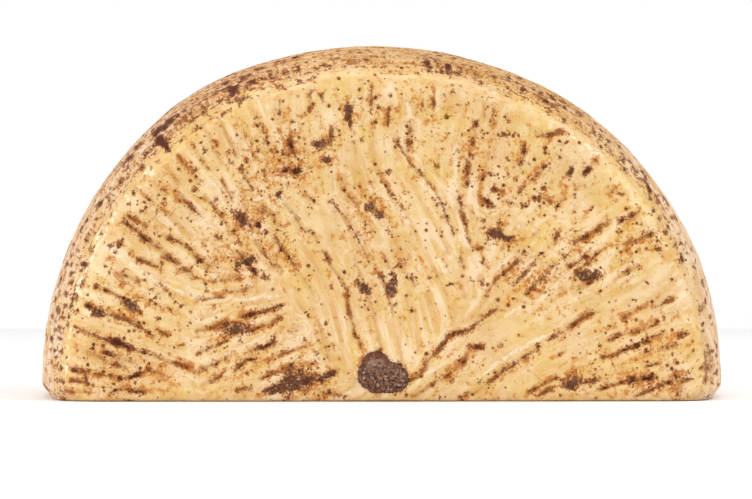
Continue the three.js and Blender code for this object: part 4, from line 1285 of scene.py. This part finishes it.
widest = outlineRadius(np.zeros(1))[0] - barrelRadius * (1 - np.cos(np.arcsin(innerY / barrelRadius)))
keep = (np.abs(innerX) < np.minimum(widest, cut["halfLength"])) & (nearEdge > cut["margin"])
innerX, innerY = innerX[keep], innerY[keep]
corners = [Vector(pair) for pair in zip([*loopX, *innerX], [*loopY, *innerY])]
loopEdges = [(k, (k + 1) % len(cutLoop)) for k in range(len(cutLoop))]
cutResult = geometry.delaunay_2d_cdt(corners, loopEdges, [], 1, 1e-6)
assert len(cutResult[0]) == len(corners), "the cut's outline crosses itself"
cutIndex = np.concatenate([cutLoop, points["x"].size + np.arange(innerX.size)])
points = joinBlocks(points, packPoints(innerX, innerY, cutLift(innerX, innerY), rindDepth=nearEdge[keep]))
areas.append(("cut", cutIndex[np.array(cutResult[2])][:, ::-1]))


# from arrays to a Blender mesh

# where each area lies on the colour map, the front face largest: start, scale and axis of u, then of v
uvSpan = 236.0      # mm across the map
uvPlaces = {
    "front": (0.5, 1.0, "x", 0.008, 1.0, "z"),
    "rim": (0.01, 0.5, "around", 0.615, 0.5, "y"),
    "back": (0.26, -0.5, "x", 0.745, 0.5, "z"),
    "cut": (0.76, 0.48, "x", 0.87, 0.48, "y"),
}


def addObject(name, data):
    made = bpy.data.objects.new(name, data)
    bpy.context.scene.collection.objects.link(made)
    return made


def buildObject(name, data, parts, materials, flatArea=""):      # the flat area has the second material
    vertices = np.column_stack([data["x"], data["y"] + shiftY, data["z"]]) * millimetre
    faces = [corners for area, block in parts for corners in block.tolist()]
    areaOf = np.repeat([area for area, block in parts], [len(block) for area, block in parts])
    made = bpy.data.meshes.new(name)
    made.from_pydata(vertices.tolist(), [], faces)
    for material in materials:
        made.materials.append(material)
    made.polygons.foreach_set("material_index", (areaOf == flatArea).astype(np.int32))
    made.polygons.foreach_set("use_smooth", areaOf != flatArea)
    loopVertex = np.concatenate(faces)
    loopArea = np.repeat(areaOf, [len(corners) for corners in faces])
    uv = np.zeros((len(loopVertex), 2), np.float32)
    for area, (left, wide, uAxis, bottom, high, vAxis) in uvPlaces.items():
        chosen = loopArea == area
        uv[chosen, 0] = left + wide * data[uAxis][loopVertex[chosen]] / uvSpan
        uv[chosen, 1] = bottom + high * data[vAxis][loopVertex[chosen]] / uvSpan
    made.uv_layers.new(name="OFBake").data.foreach_set("uv", uv.ravel())
    for given in channels:
        layer = made.attributes.new(given, "FLOAT", "POINT")
        layer.data.foreach_set("value", data[given].astype(np.float32))
    skin = bmesh.new()
    skin.from_mesh(made)
    bmesh.ops.recalc_face_normals(skin, faces=skin.faces)
    skin.to_mesh(made)
    skin.free()
    made.update()
    return addObject(name, made)


# node helpers

class Wire:     # an output of a node, which can stand in a sum like a number
    def __init__(self, socket):
        self.socket = socket

    def __add__(self, other):
        return maths("ADD", self, other)

    def __sub__(self, other):
        return maths("SUBTRACT", self, other)

    def __rsub__(self, other):
        return maths("SUBTRACT", other, self)

    def __mul__(self, other):
        return maths("MULTIPLY", self, other)


def fill(node, inputs):     # links the wires and sets the other values
    for name, value in inputs.items():
        if isinstance(value, Wire):
            node.id_data.links.new(value.socket, node.inputs[name])
        else:
            node.inputs[name].default_value = value


def addNode(kind, inputs, **settings):      # in the tree of its wires; gives its outputs by number and name
    tree = next(value.socket.id_data for value in inputs.values() if isinstance(value, Wire))
    made = tree.nodes.new(kind)
    for name, value in settings.items():
        setattr(made, name, value)
    fill(made, inputs)
    return {key: Wire(output) for number, output in enumerate(made.outputs) for key in (number, output.name)}


def maths(operation, first, second=0.0):
    return addNode("ShaderNodeMath", {0: first, 1: second}, operation=operation)["Value"]


def joined(x, y, z):
    return addNode("ShaderNodeCombineXYZ", {"X": x, "Y": y, "Z": z})["Vector"]


def between(value, low, high, toLow=0.0, toHigh=1.0):       # a soft step
    ends = {"From Min": low, "From Max": high, "To Min": toLow, "To Max": toHigh}
    return addNode("ShaderNodeMapRange", {"Value": value, **ends}, interpolation_type="SMOOTHSTEP")["Result"]


def noise(vector, scale, detail=3.0, rough=0.55, distortion=0.0):
    form = {"Scale": scale, "Detail": detail, "Roughness": rough, "Distortion": distortion}
    return addNode("ShaderNodeTexNoise", {"Vector": vector, **form})["Fac"]


def bumped(height, strength):
    return addNode("ShaderNodeBump", {"Strength": strength, "Distance": 0.0004, "Height": height})["Normal"]


def channel(shader, name):      # one of the values that the mesh carries
    made = shader.id_data.nodes.new("ShaderNodeAttribute")
    made.attribute_name = name
    return Wire(made.outputs["Fac"])


def tint(code):     # a web colour as Blender's linear colour
    values = [int(code[i:i + 2], 16) / 255 for i in (0, 2, 4)]
    return (*[v / 12.92 if v <= 0.04045 else ((v + 0.055) / 1.055) ** 2.4 for v in values], 1.0)


def mixColour(factor, first, second, blend="MIX"):
    return addNode("ShaderNodeMix", {0: factor, 6: first, 7: second}, data_type="RGBA", blend_type=blend)[2]


def mixTints(factor, look, first, second):
    return mixColour(factor, tint(look[first]), tint(look[second]))


def paint(look, colour, *layers):       # each layer: mask, how dense, name of its colour
    for mask, dense, name in layers:
        colour = mixColour(mask * dense, colour, tint(look[name]))
    return colour


def newGroup(name, inputs, outputs):
    group = bpy.data.node_groups.new(name, "ShaderNodeTree")
    group.interface.new_socket("Vector", in_out="INPUT", socket_type="NodeSocketVector")
    for socket, value in inputs.items():
        made = group.interface.new_socket(socket, in_out="INPUT", socket_type="NodeSocketFloat")
        made.default_value = value
    for socket in outputs:
        kind = "NodeSocketColor" if socket == "Color" else "NodeSocketFloat"
        group.interface.new_socket(socket, in_out="OUTPUT", socket_type=kind)
    source = group.nodes.new("NodeGroupInput")
    return group, {output.name: Wire(output) for output in source.outputs}, group.nodes.new("NodeGroupOutput")


def useGroup(group, **inputs):
    return addNode("ShaderNodeGroup", inputs, node_tree=group)


def cellsOf(given):     # a cell's distance, and three random values of its own
    cells = addNode("ShaderNodeTexVoronoi", {"Vector": given["Vector"], "Scale": given["Scale"]})
    return cells["Distance"], addNode("ShaderNodeSeparateColor", {"Color": cells["Color"]})


def newMaterial(name):
    material = bpy.data.materials.new(name)
    material.use_nodes = True
    tree = material.node_tree
    tree.nodes.clear()
    shader = tree.nodes.new("ShaderNodeBsdfPrincipled")
    fill(tree.nodes.new("ShaderNodeOutputMaterial"), {"Surface": Wire(shader.outputs["BSDF"])})
    return material, shader, Wire(tree.nodes.new("ShaderNodeTexCoord").outputs["Object"])


# effects that more than one material uses

def makeSpecks():       # dark specks, more of them where Density is high
    sizes = {"Scale": 600.0, "Density": 0.2, "Size": 0.4}
    group, given, out = newGroup("truffleSpecks", sizes, ["Mask", "Tone"])
    distance, parts = cellsOf(given)
    chosen = maths("LESS_THAN", parts["Red"], given["Density"])
    radius = given["Size"] * between(parts["Green"], 0.0, 1.0, 0.25, 1.0)
    ragged = distance + noise(given["Vector"], 2600.0, 2.0) * 0.5
    inside = between(radius + 0.25 - ragged, -0.04, 0.07)
    fill(out, {"Mask": inside * chosen, "Tone": parts["Blue"]})
    return group


def makePatches():      # soft cloudy areas, such as fat and moisture leave in cheese
    group, given, out = newGroup("softPatches", {"Scale": 60.0, "Edge": 0.12}, ["Mask"])
    value = noise(given["Vector"], given["Scale"], 4.0, 0.6, 0.4)
    fill(out, {"Mask": between(value, 0.5 - given["Edge"], given["Edge"] + 0.5)})
    return group


def makeGrain():        # fine uneven height for bump
    group, given, out = newGroup("fineGrain", {"Scale": 900.0, "Pits": 0.5}, ["Height"])
    fine = noise(given["Vector"], given["Scale"], 4.0, 0.6)
    pits = addNode("ShaderNodeTexVoronoi", {"Vector": given["Vector"], "Scale": given["Scale"]})["Distance"]
    fill(out, {"Height": fine + between(pits, 0.0, 0.35) * given["Pits"]})
    return group


truffleLook = {"dark": "6A3C28", "light": "AA7C60", "pale": "D4B69E", "black": "2C1712", "creviceShade": "44241A"}


def makeTruffle():      # the granular paste of chopped truffle, with painted shade in the crevices between grains
    group, given, out = newGroup("truffleGrain", {"Scale": 900.0}, ["Color", "Height"])
    distance, parts = cellsOf(given)
    colour = paint(
        truffleLook, mixTints(between(parts["Red"], 0.2, 0.9), truffleLook, "dark", "light"),
        (between(parts["Green"], 0.72, 0.95), 1.0, "pale"),
        (between(parts["Blue"], 0.7, 0.95), 1.0, "black"),
        # painted shade: the edges of the grains, where they lie lowest, are painted dark
        (between(distance, 0.35, 0.75), 0.7, "creviceShade"),
    )
    fill(out, {"Color": colour, "Height": 1.0 - distance})
    return group


specks = makeSpecks()
patches = makePatches()
grain = makeGrain()
truffle = makeTruffle()

rindLook = {
    "straw": "D9B26C", "yellow": "E2BF68", "peach": "DEAC76", "cream": "F2D8B2", "white": "FAECD2",
    "golden": "D6973A", "deepGolden": "C08236", "edge": "BC8748",
    "orange": "C4742A", "halo": "B8702E", "speckle": "A45E26", "underlay": "A9662C", "brown": "6B3A26",
    "grain": "4F1C06", "grainLight": "7A3C14", "lump": "522B18", "crack": "7C4524",
    "rimTan": "D7AC76", "rimPink": "EACDAC", "rimBrown": "80451F", "rimDark": "48200F", "rimWarmth": "F8EED0",
    "shift": (3.1, 1.7, 0.4),       # of some noises against the others
    "speckScale": 620.0,
    "rowSpacing": 1.9,              # mm between the weave's threads on the rim
    "topX": 0.015,                  # the warm top of the rim has its middle here, in m
    "roughness": (0.28, 0.48),
    "coat": 0.7,
}


def makeRind():
    material, shader, place = newMaterial("rind")
    look = rindLook
    given = {name: channel(shader, name) for name in channels if name != "rindDepth"}
    rimShare, zone, stain, streak = given["rim"], given["speck"], given["stain"], given["streak"]
    axes = addNode("ShaderNodeSeparateXYZ", {"Vector": place})
    shifted = addNode("ShaderNodeVectorMath", {0: place, 1: look["shift"]}, operation="ADD")["Vector"]

    # strands run alongside the grooves: the distance to the groove is one axis of their noise
    beside = joined(axes["X"] * 0.11, given["away"] * millimetre, axes["Z"] * 0.11)
    strands = noise(beside, 1250.0, 4.0, 0.62)
    broadStrands = noise(beside, 520.0, 2.0, 0.5)
    fine = noise(place, 1500.0, 4.0, 0.65)
    coarse = noise(place, 480.0, 4.0, 0.6)
    fineGrit = fine - 0.5
    coarseGrit = coarse - 0.5

    # ground colour
    broad = useGroup(patches, Vector=place, Scale=46.0, Edge=0.16)["Mask"]
    middling = useGroup(patches, Vector=place, Scale=190.0, Edge=0.2)["Mask"]
    fat = useGroup(patches, Vector=shifted, Scale=120.0, Edge=0.13)["Mask"]
    ground = mixTints(broad, look, "straw", "yellow")
    ground = paint(look, ground, (middling, 0.4, "peach"), (fat, 0.35, "cream"))
    calm = between(noise(shifted, 30.0, 2.0), 0.42, 0.58, 0.35, 1.0)
    golden = zone * 0.85 + coarseGrit * 3.4 + fineGrit * 1.6 + streak * -0.5
    # the crests' painted highlight, broken up by grit
    crests = given["crest"] + coarseGrit * 1.6 + fineGrit
    colour = paint(
        look, ground,
        (between(streak + strands * 1.2, 0.6, 1.3) * calm, 0.7, "cream"),
        # painted highlight: the tops of the bars are painted cream
        (between(given["pale"], 0.3, 0.9) * between(broadStrands, 0.42, 0.66) * calm, 0.7, "cream"),
        (between(strands, 0.54, 0.66), 0.3, "cream"),
        # painted shade: the low parts between the bars are painted golden
        (between(given["pale"], 0.5, 0.0), 0.25, "golden"),
        (between(fine, 0.44, 0.3), 0.35, "golden"),
        (between(fine, 0.56, 0.7), 0.35, "cream"),
        (between(golden, 0.4, 1.05), 0.65, "golden"),
        (between(strands, 0.5, 0.34), 0.3, "golden"),
        # painted shade: the grooves and the rim's seams are painted a deeper golden
        (given["groove"] * between(coarse, 0.3, 0.6), 0.75, "deepGolden"),
        (given["base"] * between(coarse, 0.25, 0.65, 0.35, 1.0), 0.5, "edge"),
        # painted highlight: white along the crests
        (between(crests, 0.25, 0.7), 0.7, "white"),
    )

    # the rim carries the small ladders of the basket's weave, mottled brown
    around = given["around"] + noise(place, 240.0, 2.0) * 2.5
    across = given["across"] + noise(shifted, 240.0, 2.0) * 2.0
    lengthwise = noise(joined(around * 0.55, across, 0.0), 0.8, 3.0, 0.6)
    rungs = noise(joined(around, across * 0.55, 4.0), 0.8, 3.0, 0.6)
    rows = maths("COSINE", across * (2 * math.pi / look["rowSpacing"]))
    wide = noise(place, 55.0, 3.0, 0.6)
    mottle = lengthwise * 0.6 + rungs * 0.5 + wide * 0.4 + zone * 0.3 + rows * 0.035 + fineGrit * 0.45
    dashes = lengthwise * 0.5 + rungs * 0.5 + rows * 0.04 + fineGrit * 0.3 + zone * 0.1
    further = between(given["across"], 11.0, 16.0)
    rimColour = paint(
        look, mixColour(further, ground, mixTints(fat, look, "rimTan", "rimPink")),
        (between(rungs, 0.5, 0.62), 0.6, "rimPink"),
        (between(dashes, 0.6, 0.65), 0.8, "rimBrown"),
        (between(mottle, 0.9, 1.02), 0.4, "deepGolden"),
        (between(mottle, 1.05, 1.12), 0.85, "rimBrown"),
        (between(mottle, 1.12, 1.2), 0.9, "rimDark"),
    )
    warmth = between(maths("ABSOLUTE", axes["X"] - look["topX"]), 0.08, 0.035)
    rimColour = mixColour(warmth, rimColour, tint(look["rimWarmth"]), "MULTIPLY")
    colour = mixColour(rimShare, colour, rimColour)

    # stains soak out from the marks: orange, then brown, then nearly black grains
    crack = given["crack"] + coarseGrit * 1.8 + fineGrit
    soaked = stain + zone * 0.24 + coarseGrit * 3.8 + fineGrit * 2.0 + streak * -0.35
    speckled = fine + zone * 0.15 + stain * 0.13 + coarseGrit * 0.35
    ink = given["ink"] + fineGrit * 3.0 + coarseGrit * 2.0
    inMark = between(ink, -0.55, 0.3) * (given["tone"] * 0.7 + 0.15)
    loose = zone * 0.36 + stain * 0.22 + coarseGrit * 0.6 + 0.015
    density = maths("MAXIMUM", inMark, loose)
    halo = useGroup(specks, Vector=place, Scale=look["speckScale"], Density=density, Size=0.6)["Mask"]
    colour = paint(
        look, colour,
        (between(crack, 0.45, 0.85), 0.85, "crack"),
        (between(soaked, 0.4, 1.05), 0.75, "orange"),
        (between(speckled, 0.65, 0.73), 0.5, "speckle"),
        (between(ink, -0.45, 0.15), 0.7, "underlay"),
        (between(ink, -0.05, 0.25) * given["tone"], 0.8, "brown"),
        (halo, 0.5, "halo"),
    )
    small = useGroup(specks, Vector=shifted, Scale=950.0, Density=density * 0.4, Size=0.42)
    large = useGroup(specks, Vector=place, Scale=look["speckScale"], Density=density, Size=0.38)
    for grains, dense in ((small, 0.85), (large, 0.9)):
        grainColour = mixTints(grains["Tone"], look, "grain", "grainLight")
        colour = mixColour(grains["Mask"] * dense, colour, grainColour)

    # lumps of truffle
    paste = useGroup(truffle, Vector=place, Scale=1300.0)
    lumpEdge = given["lump"] + coarseGrit * 2.6 + fineGrit * 2.6
    lumpMask = between(lumpEdge, 0.32, 0.75) * between(given["lump"], 0.05, 0.2)
    colour = paint(
        look, colour,
        (between(ink + given["tone"] * 0.5, 0.8, 1.0), 0.9, "grain"),
        (between(lumpEdge, 0.05, 0.4) * between(given["lump"], 0.02, 0.12), 0.7, "underlay"),
    )
    colour = mixColour(lumpMask * 0.9, colour, mixColour(0.7, paste["Color"], tint(look["lump"])))

    # finish
    soft = useGroup(grain, Vector=place, Scale=420.0, Pits=0.25)["Height"]
    height = (
        soft + fine * 0.3 + strands * (1.0 - rimShare) * 0.7 + mottle * rimShare * -2.2
        + rows * rimShare * -0.2 + between(ink, -0.2, 0.3) * -0.7 + lumpMask * paste["Height"]
    )
    rough = between(noise(place, 260.0, 3.0), 0.3, 0.7, *look["roughness"])
    bright = addNode("ShaderNodeRGBToBW", {"Color": colour})[0]
    fill(shader, {
        "Base Color": colour,
        "Normal": bumped(height, 0.7),
        "Roughness": rough + further * 0.25,
        "Coat Weight": between(bright, 0.06, 0.4) * (1.0 - further * 0.9) * look["coat"],
        "Coat Roughness": 0.09,
        "Specular IOR Level": 0.2,
        "IOR": 1.45,
        "Subsurface Weight": 0.1,
        "Subsurface Radius": (1.0, 0.6, 0.3),
        "Subsurface Scale": 0.003,
    })
    return material


pasteLook = {
    "ivory": "F0DCAE", "straw": "E6C98B", "rindLine": "C99A55", "vein": "5A4038",
    "roughness": (0.42, 0.6),
}


def makePaste():
    material, shader, place = newMaterial("paste")
    look = pasteLook
    broad = useGroup(patches, Vector=place, Scale=70.0, Edge=0.2)["Mask"]
    broken = useGroup(patches, Vector=place, Scale=160.0, Edge=0.08)["Mask"]
    veins = maths("ABSOLUTE", noise(place, 34.0, 5.0, 0.6, 1.6) - 0.5)
    bits = useGroup(specks, Vector=place, Scale=260.0, Density=0.16, Size=0.42)["Mask"]
    nearRind = between(channel(shader, "rindDepth"), 5.0, 0.0)
    colour = paint(look, mixTints(broad, look, "ivory", "straw"), (nearRind, 0.8, "rindLine"))
    inVein = useGroup(truffle, Vector=place, Scale=1000.0)["Color"]
    colour = mixColour(between(veins, 0.016, 0.004) * broken, colour, inVein)
    height = useGroup(grain, Vector=place, Scale=500.0, Pits=0.8)["Height"]
    fill(shader, {
        "Base Color": paint(look, colour, (bits, 0.85, "vein")),
        "Normal": bumped(height, 0.5),
        "Roughness": between(noise(place, 180.0), 0.3, 0.7, *look["roughness"]),
        "Subsurface Weight": 0.15,
        "Subsurface Radius": (1.0, 0.65, 0.35),
        "Subsurface Scale": 0.004,
    })
    return material


plugLook = {
    # the darkest tint is painted shade in the hollows between grains
    # the pale tint is the colour of the painted highlights on the grains
    "cloud": "7A5442", "knob": "6E3622", "pale": "B08E7A", "fringe": "6A3A22", "hollowShade": "34190F",
    "knobFrom": 0.0108,     # the redder top of the plug starts at this height, in m
    "knobFull": 0.0128,
}


def makePlugFinish():
    material, shader, place = newMaterial("truffle")
    look = plugLook
    paste = useGroup(truffle, Vector=place, Scale=1600.0)
    up = addNode("ShaderNodeSeparateXYZ", {"Vector": place})["Z"]
    colour = paint(
        look, paste["Color"],
        (useGroup(patches, Vector=place, Scale=260.0, Edge=0.15)["Mask"], 0.45, "cloud"),
        (between(up, look["knobFrom"], look["knobFull"]), 0.65, "knob"),
        # painted highlight on the grains' tops and glint spots
        (channel(shader, "pale"), 0.75, "pale"),
        (channel(shader, "stain"), 0.7, "fringe"),
        # painted shade in the hollows between grains
        (channel(shader, "tone"), 0.6, "hollowShade"),
    )
    height = paste["Height"] + useGroup(grain, Vector=place, Scale=1800.0, Pits=0.4)["Height"]
    fill(shader, {
        "Base Color": colour,
        "Normal": bumped(height, 0.8),
        "Roughness": between(noise(place, 900.0), 0.35, 0.65, 0.3, 0.6),
        "Coat Weight": 0.15,
        "Coat Roughness": 0.16,
        "Specular IOR Level": 0.2,
    })
    return material


rindMaterial = makeRind()
pasteMaterial = makePaste()
plugMaterial = makePlugFinish()
print("materials made")

cheese = buildObject("half_wheel", points, areas, [rindMaterial, pasteMaterial], "cut")
checker = bmesh.new()
checker.from_mesh(cheese.data)
print("half wheel:", sum(len(face.verts) - 2 for face in checker.faces), "triangles,",
      sum(1 for edge in checker.edges if not edge.is_manifold), "open edges, volume",
      round(checker.calc_volume(signed=True) * 1e6), "ml")
checker.free()
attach(cheese, "root")
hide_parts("cheese")


# the truffle plug: grains pressed together, a little proud of the face

plugMesh = {
    "sides": 120,
    "frontRings": 42,
    "wallRings": 14,
    "backRings": 8,
    "sunk": 0.5,            # the grains rise from this far below the dome
    "wallStart": 0.3,
    "backDome": 1.0,
    "grains": 700,
    "grainSize": (0.3, 0.8),
    "grainRise": (0.2, 0.7),
    "lip": 0.55,            # its front spreads this far over the mouth of its hole
    "ragged": [(0.03, 9, 1), (0.025, 17, 0), (0.02, 31, 2)],     # share, turns, phase
    "raggedFrom": (0.7, 0.3),       # share of the radius where it starts, and over which it grows
    "fringeFrom": (0.8, 0.2),
    "flatFrom": (0.86, 0.14),
    "grainShare": (0.35, 0.65),     # of a grain's height at the edge, and more inside
    "bedded": 0.35,
    # how strongly the low places between grains get painted shade
    "hollowShade": 2.6,
    "paintedGlints": [(-4.3, 12.0, 1.3), (-1.7, 12.0, 1.2)],         # painted glints on the plug: x, z, size
    "seed": 5,
}


def grainHeight(x, z):      # rounded grains of chopped truffle
    rng = np.random.default_rng(plugMesh["seed"])
    count = plugMesh["grains"]
    turn = rng.uniform(0, 2 * math.pi, count)
    reach = np.sqrt(rng.uniform(0, 1.1, count))
    centreX = plug["x"] + plugRadius(turn) * reach * np.cos(turn)
    centreZ = plug["z"] + plugRadius(turn) * reach * np.sin(turn)
    size = rng.uniform(*plugMesh["grainSize"], count)
    rise = rng.uniform(*plugMesh["grainRise"], count)
    height = np.zeros_like(x)
    for k in range(count):
        away = np.hypot(x - centreX[k], z - centreZ[k]) / size[k]
        height = np.maximum(height, rise[k] * np.sqrt(np.clip(1 - away ** 2, 0, 1)))
    return height


def plugRings(mouthY):      # scale, y and whether it belongs to the front
    rings = []
    for k in range(plugMesh["frontRings"] + 1):
        scale = k / plugMesh["frontRings"]
        y = mouthY - plug["proud"] - plug["dome"] * (1 - scale ** 3) + plugMesh["sunk"]
        rings.append((max(scale, 1e-4), y, 1.0))
    backY = mouthY + plug["depth"]
    wallDepth = backY - (plugMesh["wallStart"] + plugMesh["backDome"]) - mouthY
    for k in range(1, plugMesh["wallRings"] + 1):
        share = k / plugMesh["wallRings"]
        y = mouthY + plugMesh["wallStart"] + wallDepth * share
        rings.append((1 + (plug["backScale"] - 1) * share, y, 0.0))
    for k in range(1, plugMesh["backRings"] + 1):
        share = k / plugMesh["backRings"]
        y = backY - plugMesh["backDome"] * (1 - share) ** 3
        rings.append((max(plug["backScale"] * (1 - share), 1e-4), y, 0.0))
    return rings


def makePlug(mouthY):
    rings = plugRings(mouthY)
    angle = 2 * math.pi * np.arange(plugMesh["sides"]) / plugMesh["sides"]
    scale, depthY, isFront = np.array(rings).T[:, :, None] + 0 * angle
    ragged = 1 + sum(share * np.sin(turns * angle + phase) for share, turns, phase in plugMesh["ragged"])
    edge = 1 + (ragged - 1) * ramp(scale, plugMesh["raggedFrom"]) * isFront
    fringe = ramp(scale, plugMesh["fringeFrom"])
    reach = scale * plugRadius(angle) * edge + plugMesh["lip"] * isFront * fringe
    x = plug["x"] + reach * np.cos(angle)
    z = plug["z"] + reach * np.sin(angle)
    height = grainHeight(x, z)
    inside = 1 - ramp(scale, plugMesh["flatFrom"])
    y = depthY - isFront * (height * grown(plugMesh["grainShare"], inside) - plugMesh["bedded"])
    # painted highlight: the grains' tops and two glint spots are painted paler
    pale = sum(hump(np.hypot(x - spotX, z - spotZ), size) for spotX, spotZ, size in plugMesh["paintedGlints"])
    block = packPoints(
        x, y, z,
        pale=isFront * unit(pale + 0.5 * (height - 0.5)),
        stain=unit(isFront * fringe),
        # painted shade: the low places between grains are painted dark
        tone=isFront * unit(1 - plugMesh["hollowShade"] * height),
        around=wheel["radius"] * angle,
    )
    index = np.arange(len(rings) * plugMesh["sides"]).reshape(len(rings), -1)
    closed = np.column_stack([index, index[:, 0]])
    walls = [
        np.column_stack([first[:-1], second[:-1], second[1:], first[1:]])
        for first, second in zip(closed[:-1], closed[1:])
    ]
    return block, [("front", part) for part in (*walls, index[:1], index[-1:, ::-1])]


plugAngle = math.atan2(plug["z"], plug["x"])
plugFraction = math.hypot(plug["x"], plug["z"]) / (outlineRadius(np.full(1, plugAngle))[0] - faceInset)
mouthY = -(faceY + float(faceHeight(plugFraction, plugAngle)))
plugPiece = buildObject("plug", *makePlug(mouthY), [plugMaterial])
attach(plugPiece, "root")
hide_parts("truffle_plug")
print("plug:", len(plugPiece.data.polygons), "faces")


# floor, light and camera

studio = {
    "floorRadius": 0.95,
    "floorSides": 96,
    "floorDrop": 0.0002,
    "floorGreys": (0.98, 0.965),
    "ambient": 0.5,
    "aim": (0, 0, 0.05),
    "lights": [     # name, place, size, watts
        ("left", (-1.5, -1.7, 0.9), 1.3, 10.0),
        ("right", (1.7, -1.3, 1.0), 1.0, 9.0),
        ("leftSide", (-1.9, -0.25, 0.6), 0.8, 13.0),
        ("rightHigh", (1.2, -0.45, 1.3), 1.3, 8.0),
        ("top", (0.0, 0.1, 2.2), 2.0, 19.0),
        ("glintLeft", (-1.55, -0.75, 0.9), 0.2, 1.6),
        ("glintRight", (1.3, -0.8, 1.3), 0.2, 1.2),
    ],
}


def turnTowards(thing, direction):
    thing.rotation_euler = Vector(direction).to_track_quat("-Z", "Y").to_euler()


def makeFloor():
    turn = np.linspace(0, 2 * math.pi, studio["floorSides"] + 1)[:-1]
    ring = np.column_stack([np.cos(turn), np.sin(turn), 0 * turn]) * studio["floorRadius"]
    disc = bpy.data.meshes.new("floor")
    disc.from_pydata(ring.tolist(), [], [list(range(studio["floorSides"]))])
    floor = addObject("floor", disc)
    floor.location.z = -studio["floorDrop"]
    material, shader, place = newMaterial("floor")
    colour = mixColour(noise(place, 3.0), *[(grey, grey, grey, 1.0) for grey in studio["floorGreys"]])
    fill(shader, {"Base Color": colour, "Roughness": 0.8})
    disc.materials.append(material)


def makeLights():
    for name, place, size, watts in studio["lights"]:
        light = bpy.data.lights.new(name, "AREA")
        light.shape = "DISK"
        light.size = size
        light.energy = watts
        lamp = addObject(name, light)
        lamp.location = place
        turnTowards(lamp, Vector(studio["aim"]) - Vector(place))


def makeWorld():        # white to the camera, dimmer as a light
    world = bpy.data.worlds.new("studio")
    world.use_nodes = True
    tree = world.node_tree
    tree.nodes.clear()
    seen = Wire(tree.nodes.new("ShaderNodeLightPath").outputs["Is Camera Ray"])
    strengths = {"To Min": studio["ambient"], "To Max": 1.0}
    strength = addNode("ShaderNodeMapRange", {"Value": seen, **strengths})["Result"]
    background = addNode("ShaderNodeBackground", {"Color": (1, 1, 1, 1), "Strength": strength})["Background"]
    fill(tree.nodes.new("ShaderNodeOutputWorld"), {"Surface": background})
    bpy.context.scene.world = world
    bpy.context.scene.view_settings.view_transform = "Standard"


def makeCamera():
    lens = bpy.data.cameras.new("camera")
    lens.sensor_width = 36.0
    lens.lens = view["focalPx"] * lens.sensor_width / view["frameWidth"]
    lens.clip_end = 30.0
    camera = addObject("camera", lens)
    camera.location = Vector(cameraPlace)
    turnTowards(camera, -towardsCamera)
    bpy.context.scene.camera = camera


makeFloor()
makeLights()
makeWorld()
makeCamera()
print("studio set")
